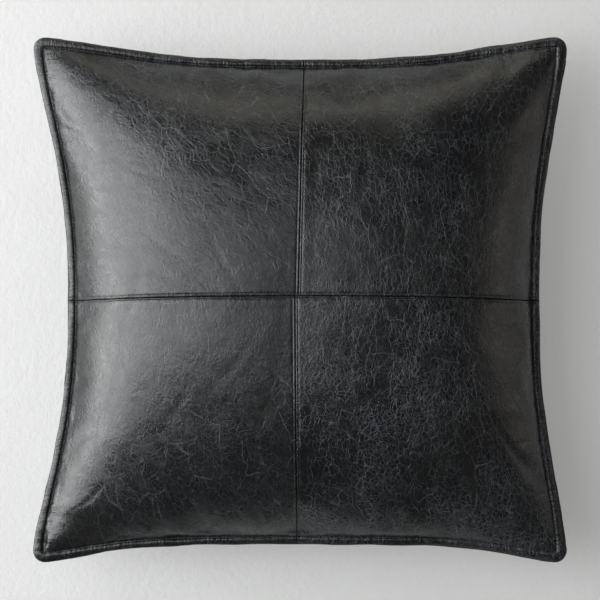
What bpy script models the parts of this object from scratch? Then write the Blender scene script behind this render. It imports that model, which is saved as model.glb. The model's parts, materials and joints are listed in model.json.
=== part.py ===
"""A square leather throw pillow: a four-patch cover with a topstitched flange, a zip and a stuffed insert.

The pillow lies on its back. X runs across it and Y up its face, +Z points out of its front, and z = 0 is the
surface it rests on. Units are metres. Run it with: blender --background --python part.py
"""

import math
from dataclasses import dataclass

import bpy
import bmesh
from mathutils import Vector

MM = 0.001

# The stuffed cover, over its flange
SPAN_X = 506 * MM  # corner to corner, across
SPAN_Y = 498 * MM  # corner to corner, up the face
FLANGE = 8.2 * MM  # the flat lip outside the edge topstitching
SETTLED = 12.5 * MM  # how far the back is pressed in where it rests, which leaves it flat there
RISE_FRONT = 78 * MM  # how far the front crowns above the flange
RISE_BACK = 80 * MM  # the same for the back, before it rests flat on the surface
CROWN_POWER = 2.3  # 2 is an ellipse, and more is boxier

# How far each side is drawn in at its middle by the stuffing, and how straight its middle stays
PULL_LEFT, FLATNESS_LEFT = 33 * MM, 2.4
PULL_RIGHT, FLATNESS_RIGHT = 26 * MM, 2.4
PULL_TOP, FLATNESS_TOP = 21 * MM, 2.8
PULL_BOTTOM, FLATNESS_BOTTOM = 17 * MM, 4.2
PULL_FADE = 1.5  # how softly the drawn-in stretch runs out into the corners

# The front's cross seams wander a little: where each one runs, from the middle of the face
SEAM_UPPER_IN, SEAM_UPPER_OUT = -1.4 * MM, 3.8 * MM  # x of the upper vertical seam, at the centre and at the edge
SEAM_LOWER_IN, SEAM_LOWER_OUT = -4.4 * MM, -2.8 * MM  # the same for the lower one
SEAM_LEVEL, SEAM_BOW = -0.5 * MM, 4.3 * MM  # y of the horizontal seam at the sides, and its rise between them

LEATHER = 1.1 * MM
TURNED = 2 * LEATHER  # a panel where its margin is turned under
GAP = 0.3 * MM  # between pieces that touch
LIP_GAP = 0.6 * MM  # between the two layers of a flange, which are only held together by their thread
MIDDLE_Z = LIP_GAP / 2 + TURNED + RISE_BACK - SETTLED  # height of the flange's mid plane above the surface
TURN_MARGIN = 9 * MM  # width of the leather turned under along the cross seams
TURN_STEP = 0.6 * MM  # over which the turned margin ends
STITCH_OFFSET = 2.2 * MM  # from a seam to the topstitching beside it
EDGE_STITCH_OFFSET = 1.1 * MM  # from the foot of the crown to the edge topstitching
THREAD = 0.5 * MM  # diameter
THREAD_END = 0.8  # how far down its last facet a cross seam's thread reaches, short of the edge topstitching

# The insert: a woven bag with a sewn lip, stuffed with fibre
INSERT_SETBACK = 12 * MM  # the insert's stitch line inside the cover's
INSERT_LIP = 5 * MM
TICKING = 0.4 * MM  # thickness of the insert's cloth
STUFFING_SETBACK = 1.6 * MM  # the fibre's edge inside the insert's stitch line
LABEL_WIDTH, LABEL_HEIGHT, LABEL_THICKNESS = 34 * MM, 9 * MM, 0.3 * MM
LABEL_X = 40 * MM  # of its near end, along the zip

# The zip across the back, near the bottom edge
ZIP_MOUTH = 300 * MM
ZIP_INSET = 26 * MM  # from the foot of the crown, at the middle of the bottom side
ZIP_TURN = 8 * MM  # width of the leather turned under beside the zip
ZIP_SEAM_GAP = 0.85 * MM  # between the two panels past the mouth, wider than GAP as the seam twists
SEAM_START = 3 * MM  # past the mouth's end, over which its two edges come together
BAND_PAST = 5 * MM  # how far the back stays straight past the ends of the tape
BAND_FADE = 70 * MM  # from the zip up the back, over which its straight band runs out
TAPE_WIDTH, TAPE_THICKNESS = 11 * MM, 0.5 * MM
TAPE_END = 7 * MM  # tape past each end of the mouth
TOOTH_WIDTH = 1.0 * MM
TOOTH_PITCH = 2 * (TOOTH_WIDTH + GAP)
TOOTH_REACH = 0.7 * MM  # how far a tooth passes the zip's centre line
BEAD_IN, BEAD_OUT = 1.6 * MM, 2.7 * MM  # the strip that carries the teeth, from the centre line
CHAIN_THICKNESS = 2.4 * MM
STOP_LENGTH = 2.5 * MM
STOP_GAP = 0.6 * MM  # between a stop and the slider that has reached it

# The slider and its pull
SLIDER_LENGTH = 9.5 * MM
PLATE = 1.1 * MM
PLATE_CORNER = 0.7 * MM
LIP = 0.9 * MM  # width of the slider's turned-in side lips
BEAD_CLEARANCE = 0.6 * MM  # between the bead and the lips
SLIDER_WIDTH = 2 * (BEAD_OUT + BEAD_CLEARANCE + LIP)
SLIDER_CLEARANCE = 0.5 * MM  # between the slider and the leather edges that it runs between
ZIP_WINDOW = SLIDER_WIDTH + 2 * SLIDER_CLEARANCE
POST_LENGTH, POST_WIDTH = 2.6 * MM, 2 * (BEAD_IN - GAP)
POST_FROM_NOSE = 1.2 * MM
PIVOT_HEIGHT = 1.9 * MM  # of the pull's pin above the leather
EAR_THICKNESS, EAR_RADIUS = 1.0 * MM, 1.35 * MM
PIN_RADIUS, PIN_CLEARANCE = 0.6 * MM, 0.09 * MM
PULL_LENGTH, PULL_WIDTH, PULL_THICKNESS = 21 * MM, 5.4 * MM, 1.1 * MM
PULL_NECK_WIDTH, PULL_NECK_LENGTH = 3.2 * MM, 3.6 * MM
EYE_INSET = 0.15 * MM  # of the pull's round eye from each side of its neck
PULL_HOLE_LENGTH, PULL_HOLE_WIDTH = 6.0 * MM, 2.2 * MM
PULL_RIM = 2.4 * MM  # from the hole to the pull's tip

ARC_STEPS = 6  # crown rows between the middle and the edge
ALONG = 1e-4  # step of u or v over which a slope is read
SEAM_COLUMNS = 6  # along the seam, from each end of the zip to the side
FIRST_ROW = 1.5  # the first free row past a turned margin, in margin widths
ZIP_FIRST_ROW = 8 * MM  # the same past the zip's margin
ROD_SIDES = 12
ARC_DEGREES = 30  # between the points of a small round outline
SHARP_DEGREES = 40  # edges bent by more than this are shaded sharp
OVERLAP = 0.2 * MM  # by which shapes that a Boolean joins run into each other, and a cutter passes a face
NEAR = MM / 1000  # closer than this is the same place


@dataclass(frozen=True)
class Form:
    """A pillow shape: where its stitch line and lip lie, and how far its faces stand off its mid plane."""

    half_x: float
    half_y: float
    lip: float  # width of the flat lip outside the stitch line
    face: float  # height of the lip's outer face off the mid plane
    rise_front: float
    rise_back: float
    floor: float  # the lowest z that its back may reach


COVER = Form(
    half_x=SPAN_X / 2 - FLANGE,
    half_y=SPAN_Y / 2 - FLANGE,
    lip=FLANGE,
    face=LIP_GAP / 2 + TURNED,
    rise_front=RISE_FRONT,
    rise_back=RISE_BACK,
    floor=0.0,
)
INSERT = Form(
    half_x=COVER.half_x - INSERT_SETBACK,
    half_y=COVER.half_y - INSERT_SETBACK,
    lip=INSERT_LIP,
    face=LIP_GAP / 2 + TICKING,
    rise_front=COVER.face + RISE_FRONT - TURNED - GAP - (LIP_GAP / 2 + TICKING),
    rise_back=COVER.face + RISE_BACK - TURNED - GAP - (LIP_GAP / 2 + TICKING),
    floor=LEATHER + GAP,
)
STUFFING = Form(
    half_x=INSERT.half_x - STUFFING_SETBACK,
    half_y=INSERT.half_y - STUFFING_SETBACK,
    lip=0.0,
    face=0.0,
    rise_front=INSERT.rise_front - TICKING,
    rise_back=INSERT.rise_back - TICKING,
    floor=INSERT.floor + TICKING + GAP,
)

MATERIALS = {
    "leather": ((0.022, 0.023, 0.025), 0.42, 0.0),
    "thread": ((0.03, 0.03, 0.033), 0.6, 0.0),
    "tape": ((0.02, 0.02, 0.022), 0.85, 0.0),
    "teeth": ((0.03, 0.03, 0.032), 0.35, 0.0),
    "metal": ((0.12, 0.12, 0.125), 0.3, 1.0),
    "ticking": ((0.8, 0.79, 0.76), 0.9, 0.0),
    "fibre": ((0.9, 0.9, 0.89), 0.95, 0.0),
    "label": ((0.85, 0.85, 0.84), 0.7, 0.0),
}


# ---- the shape's formulas ----


def drawn_in(t, flatness):
    """Share of a side's pull at t along it, from -1 to 1: 1 at the middle, 0 at the corners."""
    return (1 - min(abs(t), 1.0) ** flatness) ** PULL_FADE


def pull_x(u, v):
    pull, flatness = (PULL_LEFT, FLATNESS_LEFT) if u < 0 else (PULL_RIGHT, FLATNESS_RIGHT)
    return pull * drawn_in(v, flatness)


def pull_y(u, v):
    pull, flatness = (PULL_BOTTOM, FLATNESS_BOTTOM) if v < 0 else (PULL_TOP, FLATNESS_TOP)
    return pull * drawn_in(u, flatness)


def inside(t):
    return max(-1.0, min(1.0, t))


def plan(form, u, v):
    """x and y of a point of the stitched area, where u and v run from -1 to 1."""
    x = form.half_x * u - math.copysign(u * u, u) * pull_x(u, v)
    y = form.half_y * v - math.copysign(v * v, v) * pull_y(u, v)
    return Vector((x, y))


def lip_direction(form, u, v):
    """The way out of the stitch line, in plan. At a corner the two sides' lips meet in a round one."""
    corner_u, corner_v = inside(u), inside(v)
    out_u, out_v = (abs(u) - 1 if abs(u) > 1 else 0.0), (abs(v) - 1 if abs(v) > 1 else 0.0)
    if out_u and out_v:
        return Vector((
            math.copysign(out_u * math.sqrt(1 - out_v**2 / 2), u),
            math.copysign(out_v * math.sqrt(1 - out_u**2 / 2), v),
        ))
    if out_u:
        low, high = max(corner_v - ALONG, -1), min(corner_v + ALONG, 1)
        along = plan(form, corner_u, high) - plan(form, corner_u, low)
        return Vector((along.y, -along.x)).normalized() * math.copysign(out_u, u)
    if out_v:
        low, high = max(corner_u - ALONG, -1), min(corner_u + ALONG, 1)
        along = plan(form, high, corner_v) - plan(form, low, corner_v)
        return Vector((-along.y, along.x)).normalized() * math.copysign(out_v, v)
    return Vector((0, 0))


def crown(u, v):
    """Height share of the crown: 1 at the middle of the face, 0 on the stitch line and outside it."""
    across, up = min(abs(u), 1.0), min(abs(v), 1.0)
    return math.sqrt((1 - across**CROWN_POWER) * (1 - up**CROWN_POWER))


def front_point(form, u, v):
    """A point of the front's outer surface. u and v past 1 are on the lip, up to 2 at its edge."""
    place = plan(form, inside(u), inside(v)) + form.lip * lip_direction(form, u, v)
    return Vector((*place, MIDDLE_Z + form.face + form.rise_front * crown(u, v)))


def back_point(form, u, v):
    """The same for the back, which lies flat where it rests."""
    place = plan(form, inside(u), inside(v)) + form.lip * lip_direction(form, u, v)
    depth = form.face + form.rise_back * crown(u, v)
    return Vector((*place, max(MIDDLE_Z - depth, form.floor)))


def crown_steps(low, high):
    """Rows of the crown strictly between low and high: close together where it is steep."""
    every = [math.sin(math.radians(90 * k / ARC_STEPS)) for k in range(-ARC_STEPS + 1, ARC_STEPS)]
    return [t for t in every if low < t < high]


LIP_STEPS = [1.0, 1.5, 2.0]
ALL_STEPS = [-t for t in reversed(LIP_STEPS)] + crown_steps(-1, 1) + LIP_STEPS


# ---- objects ----


def material(name, finish):
    """A material of the object's own, with the colour, roughness and metallic value of its finish."""
    colour, roughness, metallic = MATERIALS[finish]
    made = bpy.data.materials.new(name)
    made.use_nodes = True
    shader = made.node_tree.nodes["Principled BSDF"]
    shader.inputs["Base Color"].default_value = (*colour, 1)
    shader.inputs["Roughness"].default_value = roughness
    shader.inputs["Metallic"].default_value = metallic
    return made


def link(name, data, finish, parent=None):
    data.materials.append(material(name, finish))
    made = bpy.data.objects.new(name, data)
    made.parent = parent
    bpy.context.scene.collection.objects.link(made)
    return made


def solid(name, mesh, finish, parent=None, smooth=False):
    """An object from a bmesh, which it frees."""
    data = bpy.data.meshes.new(name)
    mesh.to_mesh(data)
    mesh.free()
    if smooth:
        data.shade_smooth()
    return link(name, data, finish, parent)


def helper(made):
    """A shape that only a Boolean reads."""
    made.hide_render = True
    made.display_type = "WIRE"
    return made


def empty(name, location, rotation=(0, 0, 0), parent=None):
    made = bpy.data.objects.new(name, None)
    made.location, made.rotation_euler, made.parent = location, rotation, parent
    bpy.context.scene.collection.objects.link(made)
    return made


def sheet(name, finish, rows, thickness, turned=None, flip=False):
    """Leather or cloth: a grid of outer points, rows of Vectors, thickened inwards by Solidify.

    turned, of the same shape, is 1 where the sheet is whole and 0 where it is half as thick.
    """
    mesh = bmesh.new()
    grid = [[mesh.verts.new(point) for point in row] for row in rows]
    for lower, upper in zip(grid, grid[1:]):
        for a, b, c, d in zip(lower, lower[1:], upper[1:], upper):
            mesh.faces.new((d, c, b, a) if flip else (a, b, c, d))
    made = solid(name, mesh, finish, smooth=True)
    wall = made.modifiers.new("thickness", "SOLIDIFY")
    wall.thickness, wall.offset, wall.use_even_offset = thickness, -1, True
    if turned:
        group = made.vertex_groups.new(name="turned")
        weights = [weight for row in turned for weight in row]
        for index, weight in enumerate(weights):
            group.add([index], weight, "REPLACE")
        wall.vertex_group, wall.thickness_vertex_group = group.name, 0.5
    return made


def box(name, finish, low, high, parent=None):
    mesh = bmesh.new()
    bmesh.ops.create_cube(mesh, size=1)
    low, high = Vector(low), Vector(high)
    bmesh.ops.scale(mesh, vec=high - low, verts=mesh.verts)
    bmesh.ops.translate(mesh, vec=(low + high) / 2, verts=mesh.verts)
    return solid(name, mesh, finish, parent)


def extruded(name, finish, outline, low, high, parent=None):
    """A flat outline of (x, y) points, counter-clockwise, extruded from z = low to z = high."""
    mesh = bmesh.new()
    base = mesh.faces.new([mesh.verts.new((x, y, low)) for x, y in outline])
    top = bmesh.ops.extrude_face_region(mesh, geom=[base])["geom"]
    moved = [item for item in top if isinstance(item, bmesh.types.BMVert)]
    bmesh.ops.translate(mesh, vec=(0, 0, high - low), verts=moved)
    bmesh.ops.recalc_face_normals(mesh, faces=mesh.faces)
    bmesh.ops.triangulate(mesh, faces=mesh.faces)
    return solid(name, mesh, finish, parent)


def rod(name, finish, radius, length, parent):
    """A cylinder about the Y axis of its parent, centred on it."""
    mesh = bmesh.new()
    bmesh.ops.create_cone(mesh, cap_ends=True, segments=ROD_SIDES, radius1=radius, radius2=radius, depth=length)
    made = solid(name, mesh, finish, parent, smooth=True)
    made.data.set_sharp_from_angle(angle=math.radians(SHARP_DEGREES))
    made.rotation_euler = (math.pi / 2, 0, 0)
    return made


def boolean(made, other, operation):
    """Joins other to made, or cuts it away, and leaves other as a helper."""
    modifier = made.modifiers.new(operation.lower(), "BOOLEAN")
    modifier.operation, modifier.solver, modifier.object = operation, "EXACT", helper(other)


def thread(name, points, parent=None, ring=False):
    """A sewing thread through points, as a thin tube."""
    curve = bpy.data.curves.new(name, "CURVE")
    curve.dimensions, curve.bevel_depth, curve.bevel_resolution = "3D", THREAD / 2, 1
    curve.use_fill_caps = not ring
    spline = curve.splines.new("POLY")
    spline.points.add(len(points) - 1)
    for place, point in zip(spline.points, points):
        place.co = (*point, 1)
    spline.use_cyclic_u = ring
    return link(name, curve, "thread", parent)


# ---- the cover's front ----


def seam_shift(u, v):
    """How far the front's patches are shifted by the wandering seams, in plan."""
    near, far = (SEAM_UPPER_IN, SEAM_UPPER_OUT) if v > 0 else (SEAM_LOWER_IN, SEAM_LOWER_OUT)
    up, across = abs(inside(v)), abs(inside(u))
    shift_x = (near + (far - near) * up) * (1 - across)
    shift_y = (SEAM_LEVEL + SEAM_BOW * (1 - across**2)) * (1 - up)
    return Vector((shift_x, shift_y, 0))


def patch_point(u, v):
    return front_point(COVER, u, v) + seam_shift(u, v)


def patch_steps(half):
    """Grid lines of a patch, from its cross seam outwards, and 1 or 0 for whether the leather is turned there."""
    seam = [GAP / 2 / half, STITCH_OFFSET / half, TURN_MARGIN / half]
    plain = [(TURN_MARGIN + TURN_STEP) / half] + crown_steps(FIRST_ROW * TURN_MARGIN / half, 1)
    steps = seam + plain + LIP_STEPS
    turned = [1.0] * len(seam) + [0.0] * len(plain) + [1.0] * len(LIP_STEPS)
    return steps, turned


ACROSS, TURNED_ACROSS = patch_steps(COVER.half_x)
UP, TURNED_UP = patch_steps(COVER.half_y)


def front_patch(name, side_x, side_y):
    rows = [[patch_point(side_x * u, side_y * v) for u in ACROSS] for v in UP]
    turned = [[max(a, b) for a in TURNED_ACROSS] for b in TURNED_UP]
    return sheet(name, "leather", rows, TURNED, turned, flip=side_x * side_y < 0)


def lifted(points, lift):
    """A line on the front, raised off it by lift along its own normal, and mitred at each point."""
    raised = []
    for index, point in enumerate(points):
        before, after = points[max(index - 1, 0)], points[min(index + 1, len(points) - 1)]
        along = (after - before).normalized()
        upright = (Vector((0, 0, 1)) - along * along.z).normalized()
        leg = (after - point if index == 0 else point - before).normalized()
        raised.append(point + upright * lift / leg.dot(along))
    return raised


def cross_threads():
    """Topstitching on both sides of each cross seam, from the centre to the foot of the crown."""
    lift = THREAD / 2 + GAP
    for half, side_y in (("upper", 1), ("lower", -1)):
        for hand, side_x in (("left", -1), ("right", 1)):
            rows = [v for v in UP if STITCH_OFFSET / COVER.half_y < v <= 1]
            line = [patch_point(side_x * ACROSS[1], side_y * v) for v in rows]
            line[-1] = line[-2].lerp(line[-1], THREAD_END)
            thread(f"topstitch_{half}_{hand}", lifted(line, lift))
    for place, side_y in (("above", 1), ("below", -1)):
        columns = [-u for u in reversed(ACROSS) if u <= 1] + [u for u in ACROSS if u <= 1]
        line = [patch_point(u, side_y * UP[1]) for u in columns]
        line[0] = line[1].lerp(line[0], THREAD_END)
        line[-1] = line[-2].lerp(line[-1], THREAD_END)
        thread(f"topstitch_across_{place}", lifted(line, lift))


def edge_loop(form, offset, lift):
    """A closed loop on the lip, offset outwards from the stitch line, lift above the mid plane."""
    share = 1 + offset / form.lip
    along = [-1.0, *crown_steps(-1, 1), 1.0, share]  # each side, and then the corner after it
    places = [(t, -share) for t in along]
    places += [(share, t) for t in along]
    places += [(-t, share) for t in along]
    places += [(-share, -t) for t in along]
    points = [front_point(form, u, v) for u, v in places]
    return [Vector((point.x, point.y, MIDDLE_Z + lift)) for point in points]


# ---- the cover's back, with the zip's straight band let into it ----

ZIP_V = -(1 - ZIP_INSET / (COVER.half_y - PULL_BOTTOM))
ZIP_ORIGIN = back_point(COVER, 0, ZIP_V)
ZIP_SLOPE = back_point(COVER, 0, ZIP_V + ALONG) - back_point(COVER, 0, ZIP_V - ALONG)
ZIP_TILT = math.atan2(-ZIP_SLOPE.z, ZIP_SLOPE.y)  # of the zip's face from straight down, to the bottom edge
ZIP_INWARDS = Vector((0, math.cos(ZIP_TILT), -math.sin(ZIP_TILT)))  # across the zip, away from the bottom edge
ZIP_SCALE = (COVER.half_y - PULL_BOTTOM) / math.cos(ZIP_TILT)  # distance across the zip for 1 of v
BAND_HALF = (ZIP_MOUTH / 2 + TAPE_END + BAND_PAST) / COVER.half_x  # u over which the band is straight
MARGIN_END = ZIP_WINDOW / 2 + ZIP_TURN  # across the zip, from its centre line


def smooth(t):
    t = max(0.0, min(1.0, t))
    return t * t * (3 - 2 * t)


def band_share(u, reach, fade):
    """1 on the zip's straight band, 0 away from it: reach is the distance across it, fade where it ends."""
    along = 1 - smooth((abs(u) - BAND_HALF) / (1 - BAND_HALF))
    flat = MARGIN_END + TURN_STEP
    return along * (1 - smooth((abs(reach) - flat) / (fade - flat)))


def zip_opening(u):
    """Half the distance between the two leather edges at u."""
    return ZIP_WINDOW / 2 if abs(u) * COVER.half_x <= ZIP_MOUTH / 2 + NEAR else ZIP_SEAM_GAP / 2


def plain_back(u, reach):
    """The back without the zip's band, straight across where its margins are turned."""
    if abs(reach) >= MARGIN_END:
        return back_point(COVER, u, ZIP_V + reach / ZIP_SCALE)
    low = back_point(COVER, u, ZIP_V - MARGIN_END / ZIP_SCALE)
    high = back_point(COVER, u, ZIP_V + MARGIN_END / ZIP_SCALE)
    return low.lerp(high, (reach / MARGIN_END + 1) / 2)


def back_panel_point(u, reach, fade):
    """A point of the back at u, reach across the zip's line: positive away from the bottom edge."""
    banded = Vector((COVER.half_x * u, ZIP_ORIGIN.y, ZIP_ORIGIN.z)) + ZIP_INWARDS * reach
    return plain_back(u, reach).lerp(banded, band_share(u, reach, fade))


def back_columns():
    """Grid columns of the back panels: wide over the zip's mouth, and close where its seam bends up past it."""
    end = ZIP_MOUTH / 2 / COVER.half_x
    past = end + SEAM_START / COVER.half_x
    over = [t for t in crown_steps(0, 1) if t < end - SEAM_START / COVER.half_x]
    bending = [past + (1 - past) * k / SEAM_COLUMNS for k in range(1, SEAM_COLUMNS)]
    half = over + [end, past] + bending + LIP_STEPS
    return [-t for t in reversed(half)] + [0.0] + half


def back_panel(name, side):
    """The back above the zip, with side 1, or the strip below it, with side -1."""
    columns = back_columns()
    strip = ZIP_INSET / math.cos(ZIP_TILT)
    fade = BAND_FADE if side > 0 else strip
    rows = [
        [back_panel_point(u, side * (zip_opening(u) + inset), fade) for u in columns]
        for inset in (0, STITCH_OFFSET)
    ]
    reaches = [MARGIN_END, MARGIN_END + TURN_STEP]
    if side > 0:
        first = ZIP_V + (MARGIN_END + ZIP_FIRST_ROW) / ZIP_SCALE
        reaches += [(v - ZIP_V) * ZIP_SCALE for v in crown_steps(first, 1)]
    else:
        reaches.append((reaches[-1] + strip) / 2)
    rows += [[back_panel_point(u, side * reach, fade) for u in columns] for reach in reaches]
    rows += [[back_point(COVER, u, side * step) for u in columns] for step in LIP_STEPS]
    turned_rows = [1.0] * 3 + [0.0] * (len(reaches) - 1) + [1.0] * len(LIP_STEPS)
    turned_columns = [1.0 if abs(u) >= 1 else 0.0 for u in columns]
    turned = [[max(row, column) for column in turned_columns] for row in turned_rows]
    return sheet(name, "leather", rows, TURNED, turned, flip=side > 0)


# ---- the insert ----


def insert_panel(name, point, flip):
    rows = [[point(INSERT, u, v) for u in ALL_STEPS] for v in ALL_STEPS]
    return sheet(name, "ticking", rows, TICKING, flip=flip)


def stuffing():
    """The fibre fill: one closed body, its front and back grids sharing their rim."""
    steps = [-1.0] + crown_steps(-1, 1) + [1.0]
    last = len(steps) - 1
    mesh = bmesh.new()
    front = [[mesh.verts.new(front_point(STUFFING, u, v)) for u in steps] for v in steps]
    back = [
        [
            front[j][i] if i in (0, last) or j in (0, last) else mesh.verts.new(back_point(STUFFING, u, v))
            for i, u in enumerate(steps)
        ]
        for j, v in enumerate(steps)
    ]
    for grid, turn in ((front, 1), (back, -1)):
        for lower, upper in zip(grid, grid[1:]):
            for quad in zip(lower, lower[1:], upper[1:], upper):
                mesh.faces.new(quad[::turn])
    return solid("fibre_filling", mesh, "fibre", smooth=True)


# ---- the zip, in its own frame: x along it, y towards the bottom edge, z out of the leather ----

TAPE_TOP = -(TURNED + GAP)
CHAIN_MIDDLE = TAPE_TOP - TAPE_THICKNESS / 2
CHAIN_TOP, CHAIN_BOTTOM = CHAIN_MIDDLE + CHAIN_THICKNESS / 2, CHAIN_MIDDLE - CHAIN_THICKNESS / 2
CHAIN_START = -ZIP_MOUTH / 2 + STOP_LENGTH + 2 * GAP
SLIDER_REST = ZIP_MOUTH / 2 - STOP_LENGTH - GAP - STOP_GAP - SLIDER_LENGTH / 2
NOSE = SLIDER_LENGTH / 2
POST_HIGH = NOSE - POST_FROM_NOSE
POST_LOW = POST_HIGH - POST_LENGTH
CHAIN_END = SLIDER_REST + NOSE + STOP_GAP - GAP  # the bead reaches the top stop
TEETH_END = SLIDER_REST + POST_LOW - GAP


def tape(name, side, frame):
    inner, outer = BEAD_OUT + GAP, BEAD_OUT + GAP + TAPE_WIDTH
    low_y, high_y = sorted((side * inner, side * outer))
    end = ZIP_MOUTH / 2 + TAPE_END
    return box(name, "tape", (-end, low_y, TAPE_TOP - TAPE_THICKNESS), (end, high_y, TAPE_TOP), frame)


def teeth(name, side, first, frame):
    """One row of teeth on its bead, cut as one comb. side 1 is the row nearer the bottom edge."""
    comb = [(CHAIN_START, BEAD_OUT), (CHAIN_START, BEAD_IN)]
    centre = first
    while centre + TOOTH_WIDTH / 2 < TEETH_END:
        left, right = centre - TOOTH_WIDTH / 2, centre + TOOTH_WIDTH / 2
        comb += [(left, BEAD_IN), (left, -TOOTH_REACH), (right, -TOOTH_REACH), (right, BEAD_IN)]
        centre += TOOTH_PITCH
    comb += [(CHAIN_END, BEAD_IN), (CHAIN_END, BEAD_OUT)]
    outline = [(x, side * y) for x, y in comb]
    return extruded(name, "teeth", outline, CHAIN_BOTTOM, CHAIN_TOP, frame)


def care_label(frame):
    """A blank label, sewn to the inside of the lower tape."""
    low_y = SLIDER_WIDTH / 2 + 2 * GAP
    top = TAPE_TOP - TAPE_THICKNESS - GAP
    low = (LABEL_X, low_y, top - LABEL_THICKNESS)
    box("care_label", "label", low, (LABEL_X + LABEL_WIDTH, low_y + LABEL_HEIGHT, top), frame)


def stop(name, low_x, low_y, high_y, frame):
    low = (low_x, low_y, CHAIN_BOTTOM)
    return box(name, "metal", low, (low_x + STOP_LENGTH, high_y, CHAIN_TOP), frame)


def zip_stops(frame):
    top = SLIDER_REST + NOSE + STOP_GAP
    stop("zip_top_stop_lower", top, BEAD_IN, BEAD_OUT, frame)
    stop("zip_top_stop_upper", top, -BEAD_OUT, -BEAD_IN, frame)
    stop("zip_bottom_stop", CHAIN_START - GAP - STOP_LENGTH, -BEAD_OUT, BEAD_OUT, frame)


def arc(centre_x, centre_y, radius, start, end):
    """Points of a round corner or end, from start to end degrees."""
    return [
        (centre_x + radius * math.cos(math.radians(a)), centre_y + radius * math.sin(math.radians(a)))
        for a in range(start, end + 1, ARC_DEGREES)
    ]


def slider(mount):
    """Two plates joined by a post, with a channel for the chain, slots for the tapes and ears for the pull."""
    half = SLIDER_WIDTH / 2
    outer_face, inner_face = CHAIN_TOP + GAP, CHAIN_BOTTOM - GAP
    corner_x, corner_y = NOSE - PLATE_CORNER, half - PLATE_CORNER
    outline = arc(corner_x, -corner_y, PLATE_CORNER, -90, 0)
    outline += arc(corner_x, corner_y, PLATE_CORNER, 0, 90)
    outline += arc(-corner_x, corner_y, PLATE_CORNER, 90, 180)
    outline += arc(-corner_x, -corner_y, PLATE_CORNER, 180, 270)
    made = extruded("zip_slider", "metal", outline, inner_face - PLATE, outer_face + PLATE, mount)

    reach = NOSE + OVERLAP
    inner_y, outer_y = half - LIP, half + OVERLAP
    channel = box("channel", "metal", (-reach, -inner_y, inner_face), (reach, inner_y, outer_face), mount)
    boolean(made, channel, "DIFFERENCE")
    slot_low, slot_high = TAPE_TOP - TAPE_THICKNESS - GAP, TAPE_TOP + GAP
    slot = box("tape_slot", "metal", (-reach, -outer_y, slot_low), (reach, outer_y, slot_high), mount)
    boolean(made, slot, "DIFFERENCE")

    middle = (POST_LOW + POST_HIGH) / 2
    diamond = [(POST_LOW, 0), (middle, -POST_WIDTH / 2), (POST_HIGH, 0), (middle, POST_WIDTH / 2)]
    post = extruded("post", "metal", diamond, inner_face - OVERLAP, outer_face + OVERLAP, mount)
    boolean(made, post, "UNION")

    ear_outline = [(-EAR_RADIUS, outer_face + PLATE - OVERLAP), (EAR_RADIUS, outer_face + PLATE - OVERLAP)]
    ear_outline += arc(0, PIVOT_HEIGHT, EAR_RADIUS, 0, 180)
    near = PULL_NECK_WIDTH / 2 + GAP
    for low in (-near - EAR_THICKNESS, near):
        ear = extruded("ear", "metal", ear_outline, low, low + EAR_THICKNESS, mount)
        ear.rotation_euler = (math.pi / 2, 0, 0)
        boolean(made, ear, "UNION")
    bore = rod("bore", "metal", PIN_RADIUS + PIN_CLEARANCE, SLIDER_WIDTH, mount)
    bore.location.z = PIVOT_HEIGHT
    boolean(made, bore, "DIFFERENCE")


def pull(pivot):
    """The pull tab, made lying along x from its eye, and turned to point out of the zip."""
    half, neck = PULL_WIDTH / 2, PULL_NECK_WIDTH / 2
    shoulder = PULL_NECK_LENGTH + half - neck
    outline = [(0, -neck), (PULL_NECK_LENGTH, -neck), (shoulder, -half)]
    outline += arc(PULL_LENGTH - half, 0, half, -90, 90)
    outline += [(shoulder, half), (PULL_NECK_LENGTH, neck), (0, neck)]
    thick = PULL_THICKNESS / 2
    made = extruded("zip_pull_tab", "metal", outline, -thick, thick, pivot)
    made.rotation_euler = (0, -math.pi / 2, 0)

    boolean(made, rod("pull_eye", "metal", EAR_RADIUS, PULL_NECK_WIDTH - 2 * EYE_INSET, made), "UNION")
    boolean(made, rod("pull_bore", "metal", PIN_RADIUS + PIN_CLEARANCE, SLIDER_WIDTH, made), "DIFFERENCE")
    radius, far = PULL_HOLE_WIDTH / 2, PULL_LENGTH - PULL_RIM
    slot = arc(far - radius, 0, radius, -90, 90)
    slot += arc(far - PULL_HOLE_LENGTH + radius, 0, radius, 90, 270)
    cutter = extruded("pull_slot", "metal", slot, -thick - OVERLAP, thick + OVERLAP, made)
    boolean(made, cutter, "DIFFERENCE")


def zip_parts():
    frame = empty("zip_frame", ZIP_ORIGIN, (math.pi - ZIP_TILT, 0, 0))
    tape("zip_tape_lower", 1, frame)
    tape("zip_tape_upper", -1, frame)
    first = CHAIN_START + TOOTH_WIDTH
    teeth("zip_teeth_lower", 1, first, frame)
    teeth("zip_teeth_upper", -1, first + TOOTH_PITCH / 2, frame)
    zip_stops(frame)
    care_label(frame)
    lift = THREAD / 2 + GAP
    stitch = ZIP_WINDOW / 2 + STITCH_OFFSET
    for name, side in (("zip_topstitch_lower", 1), ("zip_topstitch_upper", -1)):
        thread(name, [(x, side * stitch, lift) for x in (-ZIP_MOUTH / 2, ZIP_MOUTH / 2)], frame)
    mount = empty("slider_mount", (SLIDER_REST, 0, 0), parent=frame)
    slider(mount)
    pivot = empty("pull_pivot", (0, 0, PIVOT_HEIGHT), parent=mount)
    pin_length = PULL_NECK_WIDTH + 2 * GAP + 2 * EAR_THICKNESS
    rod("zip_pull_pin", "metal", PIN_RADIUS, pin_length, pivot)
    pull(pivot)


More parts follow.
